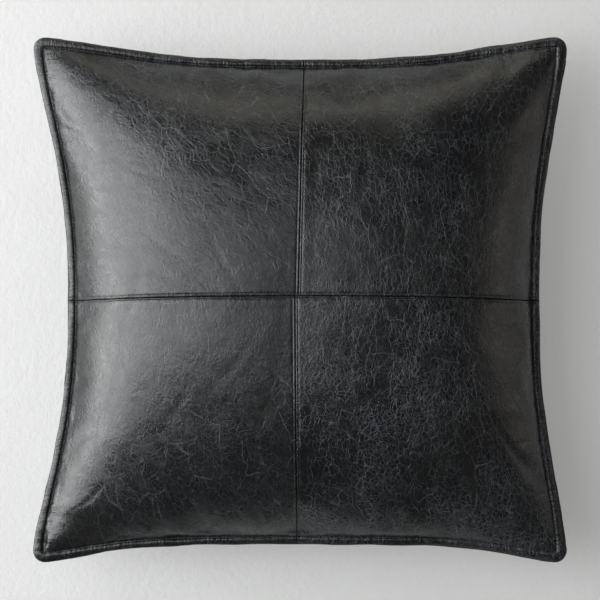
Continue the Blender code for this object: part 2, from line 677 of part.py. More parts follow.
def main():
    for old in list(bpy.data.objects):
        bpy.data.objects.remove(old)
    front_patch("front_panel_upper_left", -1, 1)
    front_patch("front_panel_upper_right", 1, 1)
    front_patch("front_panel_lower_left", -1, -1)
    front_patch("front_panel_lower_right", 1, -1)
    back_panel("back_panel_upper", 1)
    back_panel("back_panel_lower", -1)
    cross_threads()
    edge_lift = COVER.face + GAP + THREAD / 2
    thread("edge_topstitch_front", edge_loop(COVER, EDGE_STITCH_OFFSET, edge_lift), ring=True)
    thread("edge_topstitch_back", edge_loop(COVER, EDGE_STITCH_OFFSET, -edge_lift), ring=True)
    insert_panel("insert_cloth_front", front_point, flip=False)
    insert_panel("insert_cloth_back", back_point, flip=True)
    insert_lift = INSERT.face + GAP + THREAD / 2
    thread("insert_seam_thread", edge_loop(INSERT, INSERT_LIP / 2, insert_lift), ring=True)
    stuffing()
    zip_parts()


main()
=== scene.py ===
"""The looks of a black leather throw pillow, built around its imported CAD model.

The pillow lies on its back. x runs across it and y up its face, z points out of its front, and z = 0 is the
surface that it rests on. Lengths are in metres. A place on a face is (a, b): from -1 to 1 across and up the
stuffed part, and past 1 on the flange, up to 2 at its edge. Each piece is built in the frame's coordinates.
"""

import json
import math

import bmesh
import bpy
import numpy as np
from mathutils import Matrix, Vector


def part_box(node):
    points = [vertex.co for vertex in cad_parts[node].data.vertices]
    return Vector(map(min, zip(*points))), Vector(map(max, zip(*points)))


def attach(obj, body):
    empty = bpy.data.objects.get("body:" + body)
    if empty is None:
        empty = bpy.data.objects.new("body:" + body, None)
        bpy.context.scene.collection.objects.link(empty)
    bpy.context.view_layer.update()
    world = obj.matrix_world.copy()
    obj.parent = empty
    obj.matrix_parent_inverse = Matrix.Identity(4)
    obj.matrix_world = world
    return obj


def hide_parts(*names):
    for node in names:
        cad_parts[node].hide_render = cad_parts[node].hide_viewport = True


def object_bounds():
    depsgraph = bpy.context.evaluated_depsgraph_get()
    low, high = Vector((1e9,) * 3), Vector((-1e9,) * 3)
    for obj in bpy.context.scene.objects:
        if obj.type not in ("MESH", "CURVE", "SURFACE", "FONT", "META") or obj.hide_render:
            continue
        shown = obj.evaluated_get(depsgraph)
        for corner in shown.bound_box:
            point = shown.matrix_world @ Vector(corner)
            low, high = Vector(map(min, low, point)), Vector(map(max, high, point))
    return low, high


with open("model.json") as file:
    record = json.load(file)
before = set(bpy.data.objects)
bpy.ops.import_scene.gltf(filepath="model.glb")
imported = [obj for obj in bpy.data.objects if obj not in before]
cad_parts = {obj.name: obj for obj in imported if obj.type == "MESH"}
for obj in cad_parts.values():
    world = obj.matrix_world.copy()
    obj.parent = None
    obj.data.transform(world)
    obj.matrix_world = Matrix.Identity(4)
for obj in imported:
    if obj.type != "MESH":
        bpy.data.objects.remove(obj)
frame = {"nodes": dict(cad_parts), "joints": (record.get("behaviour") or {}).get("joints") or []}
CAD_LOW, CAD_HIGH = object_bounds()

MM = 0.001

# ---- the cover's form, as the CAD model has it ----

FLANGE = 8.2 * MM  # width of the flat lip outside the crown
HALF_X = CAD_HIGH.x - FLANGE
HALF_Y = CAD_HIGH.y - FLANGE
EDGE_THREADS = [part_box(f"edge_topstitch_{face}") for face in ("front", "back")]
MIDDLE_Z = sum(low.z + high.z for low, high in EDGE_THREADS) / 4  # height of the flange's mid plane
FACE = 2.5 * MM  # half the flange's thickness
RISE_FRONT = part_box("front_panel_upper_left")[1].z - MIDDLE_Z - FACE
RISE_BACK = 80 * MM
CROWN_POWER = 2.3
PULL_LEFT, FLATNESS_LEFT = 33 * MM, 2.4  # how far each side is drawn in at its middle
PULL_RIGHT, FLATNESS_RIGHT = 26 * MM, 2.4
PULL_TOP, FLATNESS_TOP = 21 * MM, 2.8
PULL_BOTTOM, FLATNESS_BOTTOM = 17 * MM, 4.2
PULL_FADE = 1.5
FOOT_EASE = 1.27  # above 1, the leather meets the flange less steeply than the CAD form does
CORNER_INSET = 3.0 * MM  # how much wider the flange is at its corners
SEAM_UPPER = (-1.4 * MM, 3.8 * MM)  # x of the upper vertical seam, at the centre and at the edge
SEAM_LOWER = (-4.4 * MM, -2.8 * MM)
SEAM_LEVEL, SEAM_BOW = -0.5 * MM, 4.3 * MM  # y of the horizontal seam at the sides, and its rise between

LEATHER = 1.1 * MM
TURNED = 2 * LEATHER
LIP_HALF_GAP = 0.3 * MM  # from the mid plane to the inner side of each flange layer
MARGIN = 9 * MM  # width of the leather turned under at a seam
SEAM_HALF_GAP = 0.12 * MM

# ---- the zip's frame, from the joints ----

JOINTS = {joint["name"]: joint for joint in frame["joints"]}
ZIP_ALONG = Vector(JOINTS["zip_travel"]["axis"])
ZIP_ACROSS = Vector(JOINTS["pull_swing"]["axis"])  # towards the bottom edge
ZIP_OUT = ZIP_ALONG.cross(ZIP_ACROSS)  # out of the leather
PIVOT = Vector(JOINTS["pull_swing"]["pos_m"])
PIVOT_HEIGHT = 1.9 * MM
ZIP_ORIGIN = Vector((0, PIVOT.y, PIVOT.z)) - ZIP_OUT * PIVOT_HEIGHT
ZIP_INWARDS = -ZIP_ACROSS
ZIP_AXES = np.array([ZIP_ALONG, ZIP_ACROSS, ZIP_OUT], float)
ZIP_INSET = 26 * MM
ZIP_V = -(1 - ZIP_INSET / (HALF_Y - PULL_BOTTOM))
ZIP_SCALE = (HALF_Y - PULL_BOTTOM) / -ZIP_ACROSS.y  # distance across the zip for 1 of b
ZIP_STRIP = (1 + ZIP_V) * ZIP_SCALE  # from the zip's line to the foot of the crown
ZIP_MOUTH = 300 * MM
ZIP_WINDOW = 9.4 * MM
BAND_HALF = 162 * MM / HALF_X  # the back is straight along the zip for this share of its width
BAND_EDGE = 13.3 * MM  # and for this distance across it
BAND_FADE = 70 * MM

# ---- sewing and surface ----

# The leather beside a seam, as distance from it and height: it rolls into the seam, stands proud over the
# folded margin, and is drawn down by the topstitching.
SEAM_DISTANCE, SEAM_HEIGHT = np.array([
    (0.1, -0.95), (0.3, -0.38), (0.6, 0.02), (1.0, 0.24), (1.5, 0.24), (1.9, 0.02), (2.3, -0.26),
    (2.7, -0.06), (3.3, 0.16), (4.4, 0.22), (6.0, 0.2), (8.0, 0.17), (10.0, 0.06), (12.0, 0.0),
]).T * MM
ROLL_DEPTHS = (-2.05 * MM, -1.35 * MM)  # of the rows that turn down into the seam
ROLL_SPREAD = np.array([0.8, 0.9, 1.0])  # in half gaps, how far these rows and the next lie from the seam
STITCH_OFFSET = 2.3 * MM

# The flange's outline in section, from the foot of the crown to its edge: distance out, height off mid plane
FLANGE_SECTION = np.array([
    (0.0, 2.1), (0.3, 1.7), (0.65, 1.45), (1.0, 1.5), (1.4, 1.95), (1.9, 2.4), (2.6, 2.7), (3.5, 2.72),
    (4.6, 2.5), (5.7, 2.12), (6.6, 1.68), (7.3, 1.2), (7.8, 0.75), (8.05, 0.4), (8.1, 0.22), (8.05, 0.12),
]) * MM
FOOT = FLANGE_SECTION[0, 1]
EDGE_STITCH = 0.85 * MM  # of the edge topstitching, out from the foot

SEWN_TO = 0.993  # how far the cross seams' topstitching runs towards the flange
STITCH_PITCH = 2.9 * MM
STITCH_LENGTH = 2.35 * MM
THREAD_RADIUS = 0.24 * MM
GRID_STEP = 1.9 * MM  # of the leather's mesh, along its surface
BACK_STEP = 1.35 * GRID_STEP

# ---- the cloth simulation ----

SIM_CELLS = 80
SIM_FRAMES = 40
SIM_START = 0.9  # the crown's share from which it swells
SIM_PRESSURE = 12
SIM_SHARE = 0.5  # how much of what the simulation moves is kept
SIM_CAP = 9 * MM  # how far the stuffing may push the leather from the CAD form
SIM_GROWTH = (-0.005, -0.03)  # slack in the leather, at the middle of the face and beside its edges
SIM_SETTINGS = {
    "quality": 6, "mass": 0.3, "tension_stiffness": 80, "compression_stiffness": 80, "shear_stiffness": 30,
    "bending_stiffness": 20, "tension_damping": 5, "compression_damping": 5, "shear_damping": 5,
    "bending_damping": 1, "air_damping": 1, "use_pressure": True, "uniform_pressure_force": SIM_PRESSURE,
}

LATTICE = 256  # cells each way before the noise repeats
STEP = 0.002  # of a or b, over which a slope is read


# ---- meshes ----


def new_object(name, mesh, *materials):
    for material in materials:
        mesh.materials.append(material)
    made = bpy.data.objects.new(name, mesh)
    bpy.context.scene.collection.objects.link(made)
    return made


def piece(made, body, slot, *replaced):
    """Puts a finished object into the frame."""
    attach(made, body)
    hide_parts(*replaced)


def quads(index):
    """Faces between the points of a grid, given their numbers."""
    corners = (index[:-1, :-1], index[:-1, 1:], index[1:, 1:], index[1:, :-1])
    return np.stack(corners, -1).reshape(-1, 4).tolist()


def tube_faces(rings, sides, first=0):
    """Faces of a rod whose points go round one ring after another, with both of its ends closed."""
    faces = []
    for ring in range(rings - 1):
        for side in range(sides):
            low = first + ring * sides + side
            following = first + ring * sides + (side + 1) % sides
            faces.append((low, following, following + sides, low + sides))
    last = first + (rings - 1) * sides
    faces.append(tuple(reversed(range(first, first + sides))))
    faces.append(tuple(range(last, last + sides)))
    return faces


# ---- smooth noise and splines ----


def spline_weights(t):
    """Weights of the four neighbours in a cubic B-spline, at t from 0 to 1 between the middle two."""
    return (
        (1 - t) ** 3 / 6,
        (3 * t**3 - 6 * t**2 + 4) / 6,
        (-3 * t**3 + 3 * t**2 + 3 * t + 1) / 6,
        t**3 / 6,
    )


def lattice(x, y, cell, seed):
    """Smooth noise, mostly from -1 to 1: random heights on a square lattice, joined by a spline."""
    table = np.random.default_rng(seed).uniform(-1, 1, (LATTICE, LATTICE))
    x, y = np.asarray(x, float) / cell, np.asarray(y, float) / cell
    column, row = np.floor(x).astype(int), np.floor(y).astype(int)
    across, up = spline_weights(x - column), spline_weights(y - row)
    total = 0.0
    for j in range(4):
        for i in range(4):
            total = total + across[i] * up[j] * table[(row + j) % LATTICE, (column + i) % LATTICE]
    return 2.4 * total


def mirrored_rim(grid):
    """The grid with a row added on each side that mirrors the next one, so that its spline keeps its rim."""
    for axis in (0, 1):
        first = 2 * np.take(grid, [0], axis) - np.take(grid, [1], axis)
        last = 2 * np.take(grid, [-1], axis) - np.take(grid, [-2], axis)
        grid = np.concatenate([first, grid, last], axis)
    return grid


def spline_sample(padded, x, y):
    """A grid padded by mirrored_rim, read at x and y in its own cells."""
    count = padded.shape[0] - 3
    column = np.clip(np.floor(x).astype(int), 0, count - 1)
    row = np.clip(np.floor(y).astype(int), 0, count - 1)
    across, up = spline_weights(x - column), spline_weights(y - row)
    total = 0.0
    for j in range(4):
        for i in range(4):
            total = total + (across[i] * up[j])[..., None] * padded[row + j, column + i]
    return total


def smooth_step(t):
    t = np.clip(t, 0, 1)
    return t * t * (3 - 2 * t)


# ---- the form's formulas ----


def drawn_in(t, flatness):
    return (1 - np.minimum(np.abs(t), 1) ** flatness) ** PULL_FADE


def plan(u, v):
    """x and y of a point of the stuffed part."""
    pull_x = np.where(u < 0, PULL_LEFT * drawn_in(v, FLATNESS_LEFT), PULL_RIGHT * drawn_in(v, FLATNESS_RIGHT))
    pull_y = np.where(v < 0, PULL_BOTTOM * drawn_in(u, FLATNESS_BOTTOM), PULL_TOP * drawn_in(u, FLATNESS_TOP))
    return HALF_X * u - u * np.abs(u) * pull_x, HALF_Y * v - v * np.abs(v) * pull_y


def crown(u, v):
    """Height share of the crown: 1 at the middle of the face, 0 at its foot."""
    return np.sqrt(np.clip(1 - np.abs(u) ** CROWN_POWER, 0, 1) * np.clip(1 - np.abs(v) ** CROWN_POWER, 0, 1))


def lip_direction(a, b):
    """The way out onto the flange, in plan, as long as its share of the flange's width."""
    u, v = np.clip(a, -1, 1), np.clip(b, -1, 1)
    out_a, out_b = a - u, b - v
    x_high, y_high = plan(u, np.clip(v + STEP, -1, 1))
    x_low, y_low = plan(u, np.clip(v - STEP, -1, 1))
    side_x, side_y = y_high - y_low, x_low - x_high
    side = out_a / np.hypot(side_x, side_y)
    x_high, y_high = plan(np.clip(u + STEP, -1, 1), v)
    x_low, y_low = plan(np.clip(u - STEP, -1, 1), v)
    end_x, end_y = y_low - y_high, x_high - x_low
    end = out_b / np.hypot(end_x, end_y)
    corner = (out_a != 0) & (out_b != 0)
    x = np.where(corner, out_a * np.sqrt(1 - out_b**2 / 2), side * side_x + end * end_x)
    y = np.where(corner, out_b * np.sqrt(1 - out_a**2 / 2), side * side_y + end * end_y)
    return x, y


def seam_shift(u, v):
    """How far the front's patches are shifted by its wandering seams."""
    near = np.where(v > 0, SEAM_UPPER[0], SEAM_LOWER[0])
    far = np.where(v > 0, SEAM_UPPER[1], SEAM_LOWER[1])
    x = (near + (far - near) * np.abs(v)) * (1 - np.abs(u))
    y = (SEAM_LEVEL + SEAM_BOW * (1 - u**2)) * (1 - np.abs(v))
    return x, y


def arc_table():
    """Distance along the crown from the middle of the face, as a share, at 0 to 1 across it."""
    across = np.linspace(0, 1, 2001)
    x = (HALF_X - PULL_LEFT * across) * across
    z = RISE_FRONT * np.sqrt(1 - across**CROWN_POWER)
    lengths = np.concatenate([[0], np.cumsum(np.hypot(np.diff(x), np.diff(z)))])
    return across, lengths / lengths[-1], lengths[-1]


ARC_ACROSS, ARC_SHARE, ARC_LENGTH = arc_table()


def across_at(share):
    """The place across a face, from -1 to 1, at a share of the way along its leather from the middle."""
    return np.sign(share) * np.interp(np.abs(share), ARC_SHARE, ARC_ACROSS)


def share_at(across):
    """The share of the way along the leather at a place across a face."""
    return np.sign(across) * np.interp(np.abs(across), ARC_ACROSS, ARC_SHARE)


def even_line(count):
    """Places across a face, evenly spaced along its leather."""
    return across_at(np.linspace(-1, 1, count))


def section_table():
    """The flange's section by its own length: share of it, distance out, and height."""
    steps = np.hypot(*np.diff(FLANGE_SECTION, axis=0).T)
    share = np.concatenate([[0], np.cumsum(steps)])
    return share / share[-1], FLANGE_SECTION[:, 0], FLANGE_SECTION[:, 1]


SECTION_SHARE, SECTION_OUT, SECTION_HEIGHT = section_table()


# ---- what the stuffing does to the cover ----


def swelling_object(full, rim, front_index, back_index):
    """The whole cover as one thin closed mesh, at the share of its height from which it swells."""
    start = {side: places.copy() for side, places in full.items()}
    for places in start.values():
        places[..., 2] = MIDDLE_Z + (places[..., 2] - MIDDLE_Z) * SIM_START
    vertices = np.concatenate([start[1].reshape(-1, 3), start[-1][~rim]])
    faces = quads(front_index) + [face[::-1] for face in quads(back_index)]
    mesh = bpy.data.meshes.new("swelling")
    mesh.from_pydata(vertices.tolist(), [], faces)
    return new_object("swelling", mesh)


def weigh(swelling, rim, front_index, slack):
    """Vertex groups of the sewn edge, which is held, and of the slack leather."""
    held = swelling.vertex_groups.new(name="held")
    held.add(front_index[rim].tolist(), 1, "REPLACE")
    grown = swelling.vertex_groups.new(name="grown")
    for index, weight in enumerate(np.concatenate([slack.ravel(), slack[~rim]])):
        grown.add([index], float(weight), "REPLACE")


def swollen_places(swelling):
    """Runs the cloth simulation, and returns where its points end."""
    cloth = swelling.modifiers.new("swell", "CLOTH")
    cloth.collision_settings.use_collision = False
    cloth.point_cache.frame_end = SIM_FRAMES
    for name, value in SIM_SETTINGS.items():
        setattr(cloth.settings, name, value)
    cloth.settings.effector_weights.gravity = 0
    cloth.settings.vertex_group_mass = "held"
    cloth.settings.vertex_group_shrink = "grown"
    cloth.settings.shrink_min, cloth.settings.shrink_max = SIM_GROWTH
    scene = bpy.context.scene
    scene.frame_start, scene.frame_end = 1, SIM_FRAMES
    for number in range(1, SIM_FRAMES + 1):
        scene.frame_set(number)
    evaluated = swelling.evaluated_get(bpy.context.evaluated_depsgraph_get()).to_mesh()
    places = np.empty(len(evaluated.vertices) * 3, np.float32)
    evaluated.vertices.foreach_get("co", places)
    scene.frame_set(1)
    return places.reshape(-1, 3).astype(float)


def simulated_cover():
    """Swells the cover, with its sewn edge held, and returns how far each face's points end from the CAD
    form, as two grids that are even along the leather."""
    line = even_line(SIM_CELLS + 1)
    u, v = np.meshgrid(line, line)
    x, y = plan(u, v)
    full = {
        side: np.stack([x, y, MIDDLE_Z + side * (FACE + rise) * crown(u, v)], -1)
        for side, rise in ((1, RISE_FRONT), (-1, RISE_BACK))
    }
    rim = np.zeros(u.shape, bool)
    rim[[0, -1]] = rim[:, [0, -1]] = True
    front_index = np.arange(u.size).reshape(u.shape)
    back_index = front_index.copy()
    back_index[~rim] = u.size + np.arange((~rim).sum())
    slack = smooth_step((np.maximum(np.abs(u), np.abs(v)) - 0.55) / 0.4)
    slack = np.clip(slack * (0.62 + 0.55 * lattice(x, y, 17 * MM, 5)), 0, 1)

    swelling = swelling_object(full, rim, front_index, back_index)
    weigh(swelling, rim, front_index, slack)
    swollen = swollen_places(swelling)
    mesh = swelling.data
    bpy.data.objects.remove(swelling)
    bpy.data.meshes.remove(mesh)

    moved = {}
    for side, index in ((1, front_index), (-1, back_index)):
        shift = swollen[index] - full[side]
        shift[rim] = 0
        length = np.linalg.norm(shift, axis=-1, keepdims=True)
        shift *= SIM_SHARE * np.minimum(1, SIM_CAP / np.maximum(length, 1e-9))
        moved[side] = mirrored_rim(shift)
    return moved


MOVED = simulated_cover()


# ---- the two faces of the cover ----

# Soft folds and creases in the front's leather: x, y, direction in degrees, half length, half width, depth
FOLDS = [
    (-193, 203, 2, 14, 1.6, 0.35), (-221, 172, -40, 10, 3.0, 0.7), (-214, 158, -20, 9, 2.4, 0.5),
    (-178, 132, -14, 26, 3.0, 0.4), (-196, 96, 4, 20, 3.5, 0.35), (-150, 118, -22, 22, 3.0, 0.3),
    (-150, 213, -30, 16, 4.5, 0.8), (-104, 212, 62, 12, 4.0, 0.6), (-52, 216, 80, 11, 5.0, 0.6),
    (62, 214, 100, 11, 5.0, 0.5), (128, 210, 118, 13, 5.0, 0.6), (-80, -206, 70, 11, 4.0, 0.9),
    (-38, -203, 100, 10, 4.0, 0.8), (-140, -208, 64, 12, 5.0, 0.6), (66, -207, 95, 11, 5.0, 0.6),
    (138, -209, 120, 13, 5.0, 0.7), (198, -140, -52, 26, 5.0, 0.7), (208, -96, -60, 18, 5.0, 0.6),
    (206, -134, 8, 10, 1.6, 0.5), (210, -52, 4, 8, 1.6, 0.4), (203, 60, -12, 14, 3.0, 0.5),
    (-205, -60, 8, 16, 3.5, 0.5), (-200, -128, 24, 18, 3.5, 0.5), (-196, -186, 42, 14, 3.0, 0.6),
    (-120, 45, -35, 30, 5.0, 0.4), (-95, 20, -28, 26, 4.5, 0.4), (-70, 35, -60, 22, 4.0, 0.3),
    (-150, 10, 75, 30, 6.0, 0.4), (-165, -60, 80, 34, 6.0, 0.35), (-110, -95, 60, 30, 6.0, 0.35),
    (-60, -60, 50, 28, 5.0, 0.3), (60, 120, 70, 40, 6.0, 0.3), (95, 60, 95, 36, 5.0, 0.3),
    (45, -50, 85, 34, 5.0, 0.3), (120, -40, 100, 40, 6.0, 0.35), (150, 110, 60, 30, 5.0, 0.3),
]


LUMPS = [(0.5, 42), (0.17, 16), (0.06, 6)]  # height and size, in mm


def folds(x, y):
    total = 0.0
    for centre_x, centre_y, degrees, half_length, half_width, depth in FOLDS:
        turn = math.radians(degrees)
        dx, dy = x - centre_x * MM, y - centre_y * MM
        along = (dx * math.cos(turn) + dy * math.sin(turn)) / (half_length * MM)
        across = (dy * math.cos(turn) - dx * math.sin(turn)) / (half_width * MM)
        bent = across - 0.35 * along**2
        total = total - depth * MM * (1 - 0.6 * bent**2) * np.exp(-(bent**2) - along**2)
    return total


def gathers(along, inwards, seed):
    """Puckers that run in from a sewn edge and across its flange, fine ones within broader ones."""
    depth = np.abs(inwards)
    fine = 0.42 * MM * lattice(along, inwards * 0.22, 2.9 * MM, seed) * np.exp(-depth / (8 * MM))
    fine = fine * (0.6 + 0.8 * smooth_step((np.abs(along) - 90 * MM) / (110 * MM)))
    broad = 1.5 * MM * lattice(along, inwards * 0.3, 13 * MM, seed + 1) * np.exp(-depth / (25 * MM))
    broad = np.where(inwards < 0, 0.35, 1) * broad  # the flange is stiff
    patchy = 0.65 + 0.5 * lattice(along, inwards * 0, 40 * MM, seed + 2)
    return np.clip(patchy, 0.1, 1.3) * (fine + broad * smooth_step(depth / (6 * MM)))


def seam_profile(distance, along, seed):
    """Height of the leather beside a cross seam, with the small puckers that its stitches pull."""
    height = np.interp(distance, SEAM_DISTANCE, SEAM_HEIGHT)
    pucker = lattice(along, distance * 0.2, 2.6 * MM, seed) * np.exp(-distance / (6 * MM))
    sunk = 0.5 * MM * np.exp(-((distance / (16 * MM)) ** 2))
    return height + 0.16 * MM * pucker * smooth_step(distance / (2 * MM)) - sunk


class Face:
    """The outer surface of the cover's front, side 1, or back, side -1."""

    def __init__(self, side):
        self.side = side
        self.rise = RISE_FRONT if side > 0 else RISE_BACK
        self.moved = MOVED[side]
        self.seed = 100 if side > 0 else 200

    def stuffed(self, a, b):
        """The surface without the sewing's own relief."""
        u, v = np.clip(a, -1, 1), np.clip(b, -1, 1)
        x, y = plan(u, v)
        if self.side > 0:
            shift_x, shift_y = seam_shift(u, v)
            x, y = x + shift_x, y + shift_y
        out_x, out_y = lip_direction(a, b)
        share = np.hypot(out_x, out_y)
        wander = lattice(x, y, 15 * MM, 11)
        width = np.interp(share, SECTION_SHARE, SECTION_OUT) * (1 + 0.045 * wander)
        inset = CORNER_INSET * np.abs(u * v) ** 7
        x, y = x - np.sign(u) * inset, y - np.sign(v) * inset
        width = width * (1 + inset / FLANGE) / np.maximum(share, 1e-9)
        height = FOOT + (FACE + self.rise - FOOT) * crown(u, v) ** FOOT_EASE
        height = np.where(share > 0, np.interp(share, SECTION_SHARE, SECTION_HEIGHT), height)
        swing = 1.1 * MM * lattice(x, y, 60 * MM, 12) + 0.4 * MM * lattice(x, y, 21 * MM, 13)
        z = MIDDLE_Z + self.side * height + swing * smooth_step(share)
        place = np.stack([x + out_x * width, y + out_y * width, z], -1)
        place = place + spline_sample(self.moved, *((share_at(t) + 1) / 2 * SIM_CELLS for t in (u, v)))
        return place if self.side > 0 else self.rested(place, a, b)

    def rested(self, place, a, b):
        """The back's surface, straight along the zip and pressed flat where the pillow lies."""
        reach = (b - ZIP_V) * ZIP_SCALE
        fade = np.where(reach > 0, BAND_FADE, ZIP_STRIP)
        along = 1 - smooth_step((np.abs(a) - BAND_HALF) / (1 - BAND_HALF))
        share = along * (1 - smooth_step((np.abs(reach) - BAND_EDGE) / (fade - BAND_EDGE)))
        straight = np.stack([HALF_X * a, 0 * a, 0 * a], -1)
        straight = straight + np.array(ZIP_ORIGIN) * (0, 1, 1) + reach[..., None] * np.array(ZIP_INWARDS)
        place = place + (straight - place) * share[..., None]
        soft = 1.5 * MM
        place[..., 2] = soft * np.logaddexp(0, place[..., 2] / soft)
        return place

    def normal(self, a, b):
        across = self.stuffed(a + STEP, b) - self.stuffed(a - STEP, b)
        up = self.stuffed(a, b + STEP) - self.stuffed(a, b - STEP)
        out = np.cross(across, up) * self.side
        return out / np.maximum(np.linalg.norm(out, axis=-1, keepdims=True), 1e-12)

    def relief(self, a, b, place):
        """Height of the lumps, gathers and sewn seams over the stuffed surface."""
        x, y = place[..., 0], place[..., 1]
        flat = smooth_step(np.maximum(np.abs(a), np.abs(b)) * 40 - 39)
        lumps = sum(
            height * MM * lattice(x, y, size * MM, self.seed + number)
            for number, (height, size) in enumerate(LUMPS)
        )
        total = lumps * (1 - 0.6 * flat)
        edges = ((1 + a, HALF_X, y), (1 - a, HALF_X, y), (1 + b, HALF_Y, x), (1 - b, HALF_Y, x))
        for number, (share, half, along) in enumerate(edges):
            inwards = share * np.where(share > 0, half, FLANGE)
            total = total + gathers(along, inwards, self.seed + 10 + 3 * number)
        if self.side > 0:
            total = total + folds(x, y)
            total = total + seam_profile(np.abs(a) * HALF_X, y, self.seed + 40)
            total = total + seam_profile(np.abs(b) * HALF_Y, x, self.seed + 41)
            below = (b * HALF_Y + 1.05 * MM) / (0.5 * MM)
            total = total + 0.22 * MM * np.exp(-(below**2))  # the folded edge of the lower patches
        else:
            beside = 1 - smooth_step((np.abs((b - ZIP_V) * ZIP_SCALE) - 9 * MM) / (14 * MM))
            total = total * (1 - beside * (1 - smooth_step((np.abs(a) - BAND_HALF) / 0.1)))
        return total

    def outer(self, a, b, depth=0.0):
        """Points of the outer surface, and its normals. depth lowers them, as where the leather turns in."""
        a, b = np.broadcast_arrays(np.asarray(a, float), np.asarray(b, float))
        place, out = self.stuffed(a, b), self.normal(a, b)
        place = place + out * (self.relief(a, b, place) + depth)[..., None]
        if self.side < 0:
            place[..., 2] = np.maximum(place[..., 2], 0)
        return place, out

    def inner(self, a, b, thickness):
        """Points of the leather's inner side. On the flange both layers lie flat against the mid plane."""
        a, b = np.broadcast_arrays(np.asarray(a, float), np.asarray(b, float))
        place, out = self.stuffed(a, b), self.normal(a, b)
        dip = np.minimum(self.relief(a, b, place), 0)
        slack = np.where(thickness < TURNED, 0.8 * MM, 0)  # the inner side's few lines miss some creases
        inside = place + out * (dip - thickness - slack)[..., None]
        flat = np.maximum(np.abs(a), np.abs(b)) >= 1
        gap = place * (1, 1, 0) + np.array((0, 0, MIDDLE_Z + self.side * LIP_HALF_GAP))
        return np.where(flat[..., None], gap, inside)


# ---- the cover's leather ----


def faced_outwards(mesh):
    """Turns the faces of a mesh of closed bodies so that they all point out."""
    work = bmesh.new()
    work.from_mesh(mesh)
    bmesh.ops.recalc_face_normals(work, faces=work.faces)
    if work.calc_volume(signed=True) < 0:
        bmesh.ops.reverse_faces(work, faces=work.faces)
    work.to_mesh(mesh)
    work.free()


def closed_sheet(name, outer, inner, rows, columns, finishes):
    """A sheet of leather or cloth as one closed mesh. outer is a fine grid of points, inner a coarse one that
    has only the named rows and columns of it, and the two are joined round their rims."""
    outer_index = np.arange(outer.shape[0] * outer.shape[1]).reshape(outer.shape[:2])
    inner_index = outer_index.size + np.arange(inner.shape[0] * inner.shape[1]).reshape(inner.shape[:2])
    faces = quads(outer_index)
    first_inner = len(faces)
    faces += [face[::-1] for face in quads(inner_index)]
    rims = [
        (outer_index[0], inner_index[0], columns), (outer_index[-1], inner_index[-1], columns),
        (outer_index[:, 0], inner_index[:, 0], rows), (outer_index[:, -1], inner_index[:, -1], rows),
    ]
    for outer_rim, inner_rim, kept in rims:
        inner_rim = inner_rim.tolist()
        for step, (low, high) in enumerate(zip(kept, kept[1:])):
            faces.append([*outer_rim[low : high + 1].tolist(), inner_rim[step + 1], inner_rim[step]])
    mesh = bpy.data.meshes.new(name)
    mesh.from_pydata(np.concatenate([outer.reshape(-1, 3), inner.reshape(-1, 3)]).tolist(), [], faces)
    mesh.polygons.foreach_set("material_index", [int(k >= first_inner) for k in range(len(faces))])
    mesh.shade_smooth()
    faced_outwards(mesh)
    return new_object(name, mesh, *finishes)


class Lines:
    """Grid lines of a sheet, from a sewn seam outwards to the flange's edge: the place a of each, how far it
    is turned down into the seam, and which of them the coarse inner side keeps."""

    def __init__(self, half):
        near = SEAM_DISTANCE[1:] / half
        start = share_at(near[-1] + GRID_STEP / half)
        count = int((1 - start) * ARC_LENGTH / GRID_STEP)
        far = across_at(np.linspace(start, 1, count + 1))
        seam = SEAM_HALF_GAP / half * ROLL_SPREAD
        self.at = np.concatenate([seam, near, far, 1 + SECTION_SHARE[1:]])
        self.depth = np.zeros(len(self.at))
        self.depth[: len(ROLL_DEPTHS)] = ROLL_DEPTHS
        margin = len(seam) + int(np.searchsorted(near, MARGIN / half))
        foot = len(seam) + len(near) + len(far) - 1
        kept = [0, margin, margin + 1, *range(margin + 6, foot - 2, 6), foot, len(self.at) - 1]
        self.kept = sorted(set(kept))
        self.distance = self.at * half

    def thickness(self):
        """Of the leather at the kept lines: double where it is turned under."""
        return np.where(self.distance[self.kept] <= MARGIN + 1 * MM, TURNED, LEATHER)


def front_panel(name, side_x, side_y, finishes):
    face = Face(1)
    across, up = Lines(HALF_X), Lines(HALF_Y)
    a, b = np.meshgrid(side_x * across.at, side_y * up.at)
    depth = np.maximum(across.depth[None] + up.depth[:, None], ROLL_DEPTHS[0])
    outer, _ = face.outer(a, b, depth)
    thick = np.maximum(across.thickness()[None], up.thickness()[:, None])
    inner = face.inner(a[np.ix_(up.kept, across.kept)], b[np.ix_(up.kept, across.kept)], thick)
    made = closed_sheet(name, outer, inner, up.kept, across.kept, finishes)
    return made


def zip_opening(a):
    """Half the distance between the two edges of the back's leather."""
    past = smooth_step((np.abs(a) * HALF_X - (ZIP_MOUTH / 2 - 1.5 * MM)) / (6 * MM))
    return ZIP_WINDOW / 2 * (1 - past) + 0.3 * MM * past


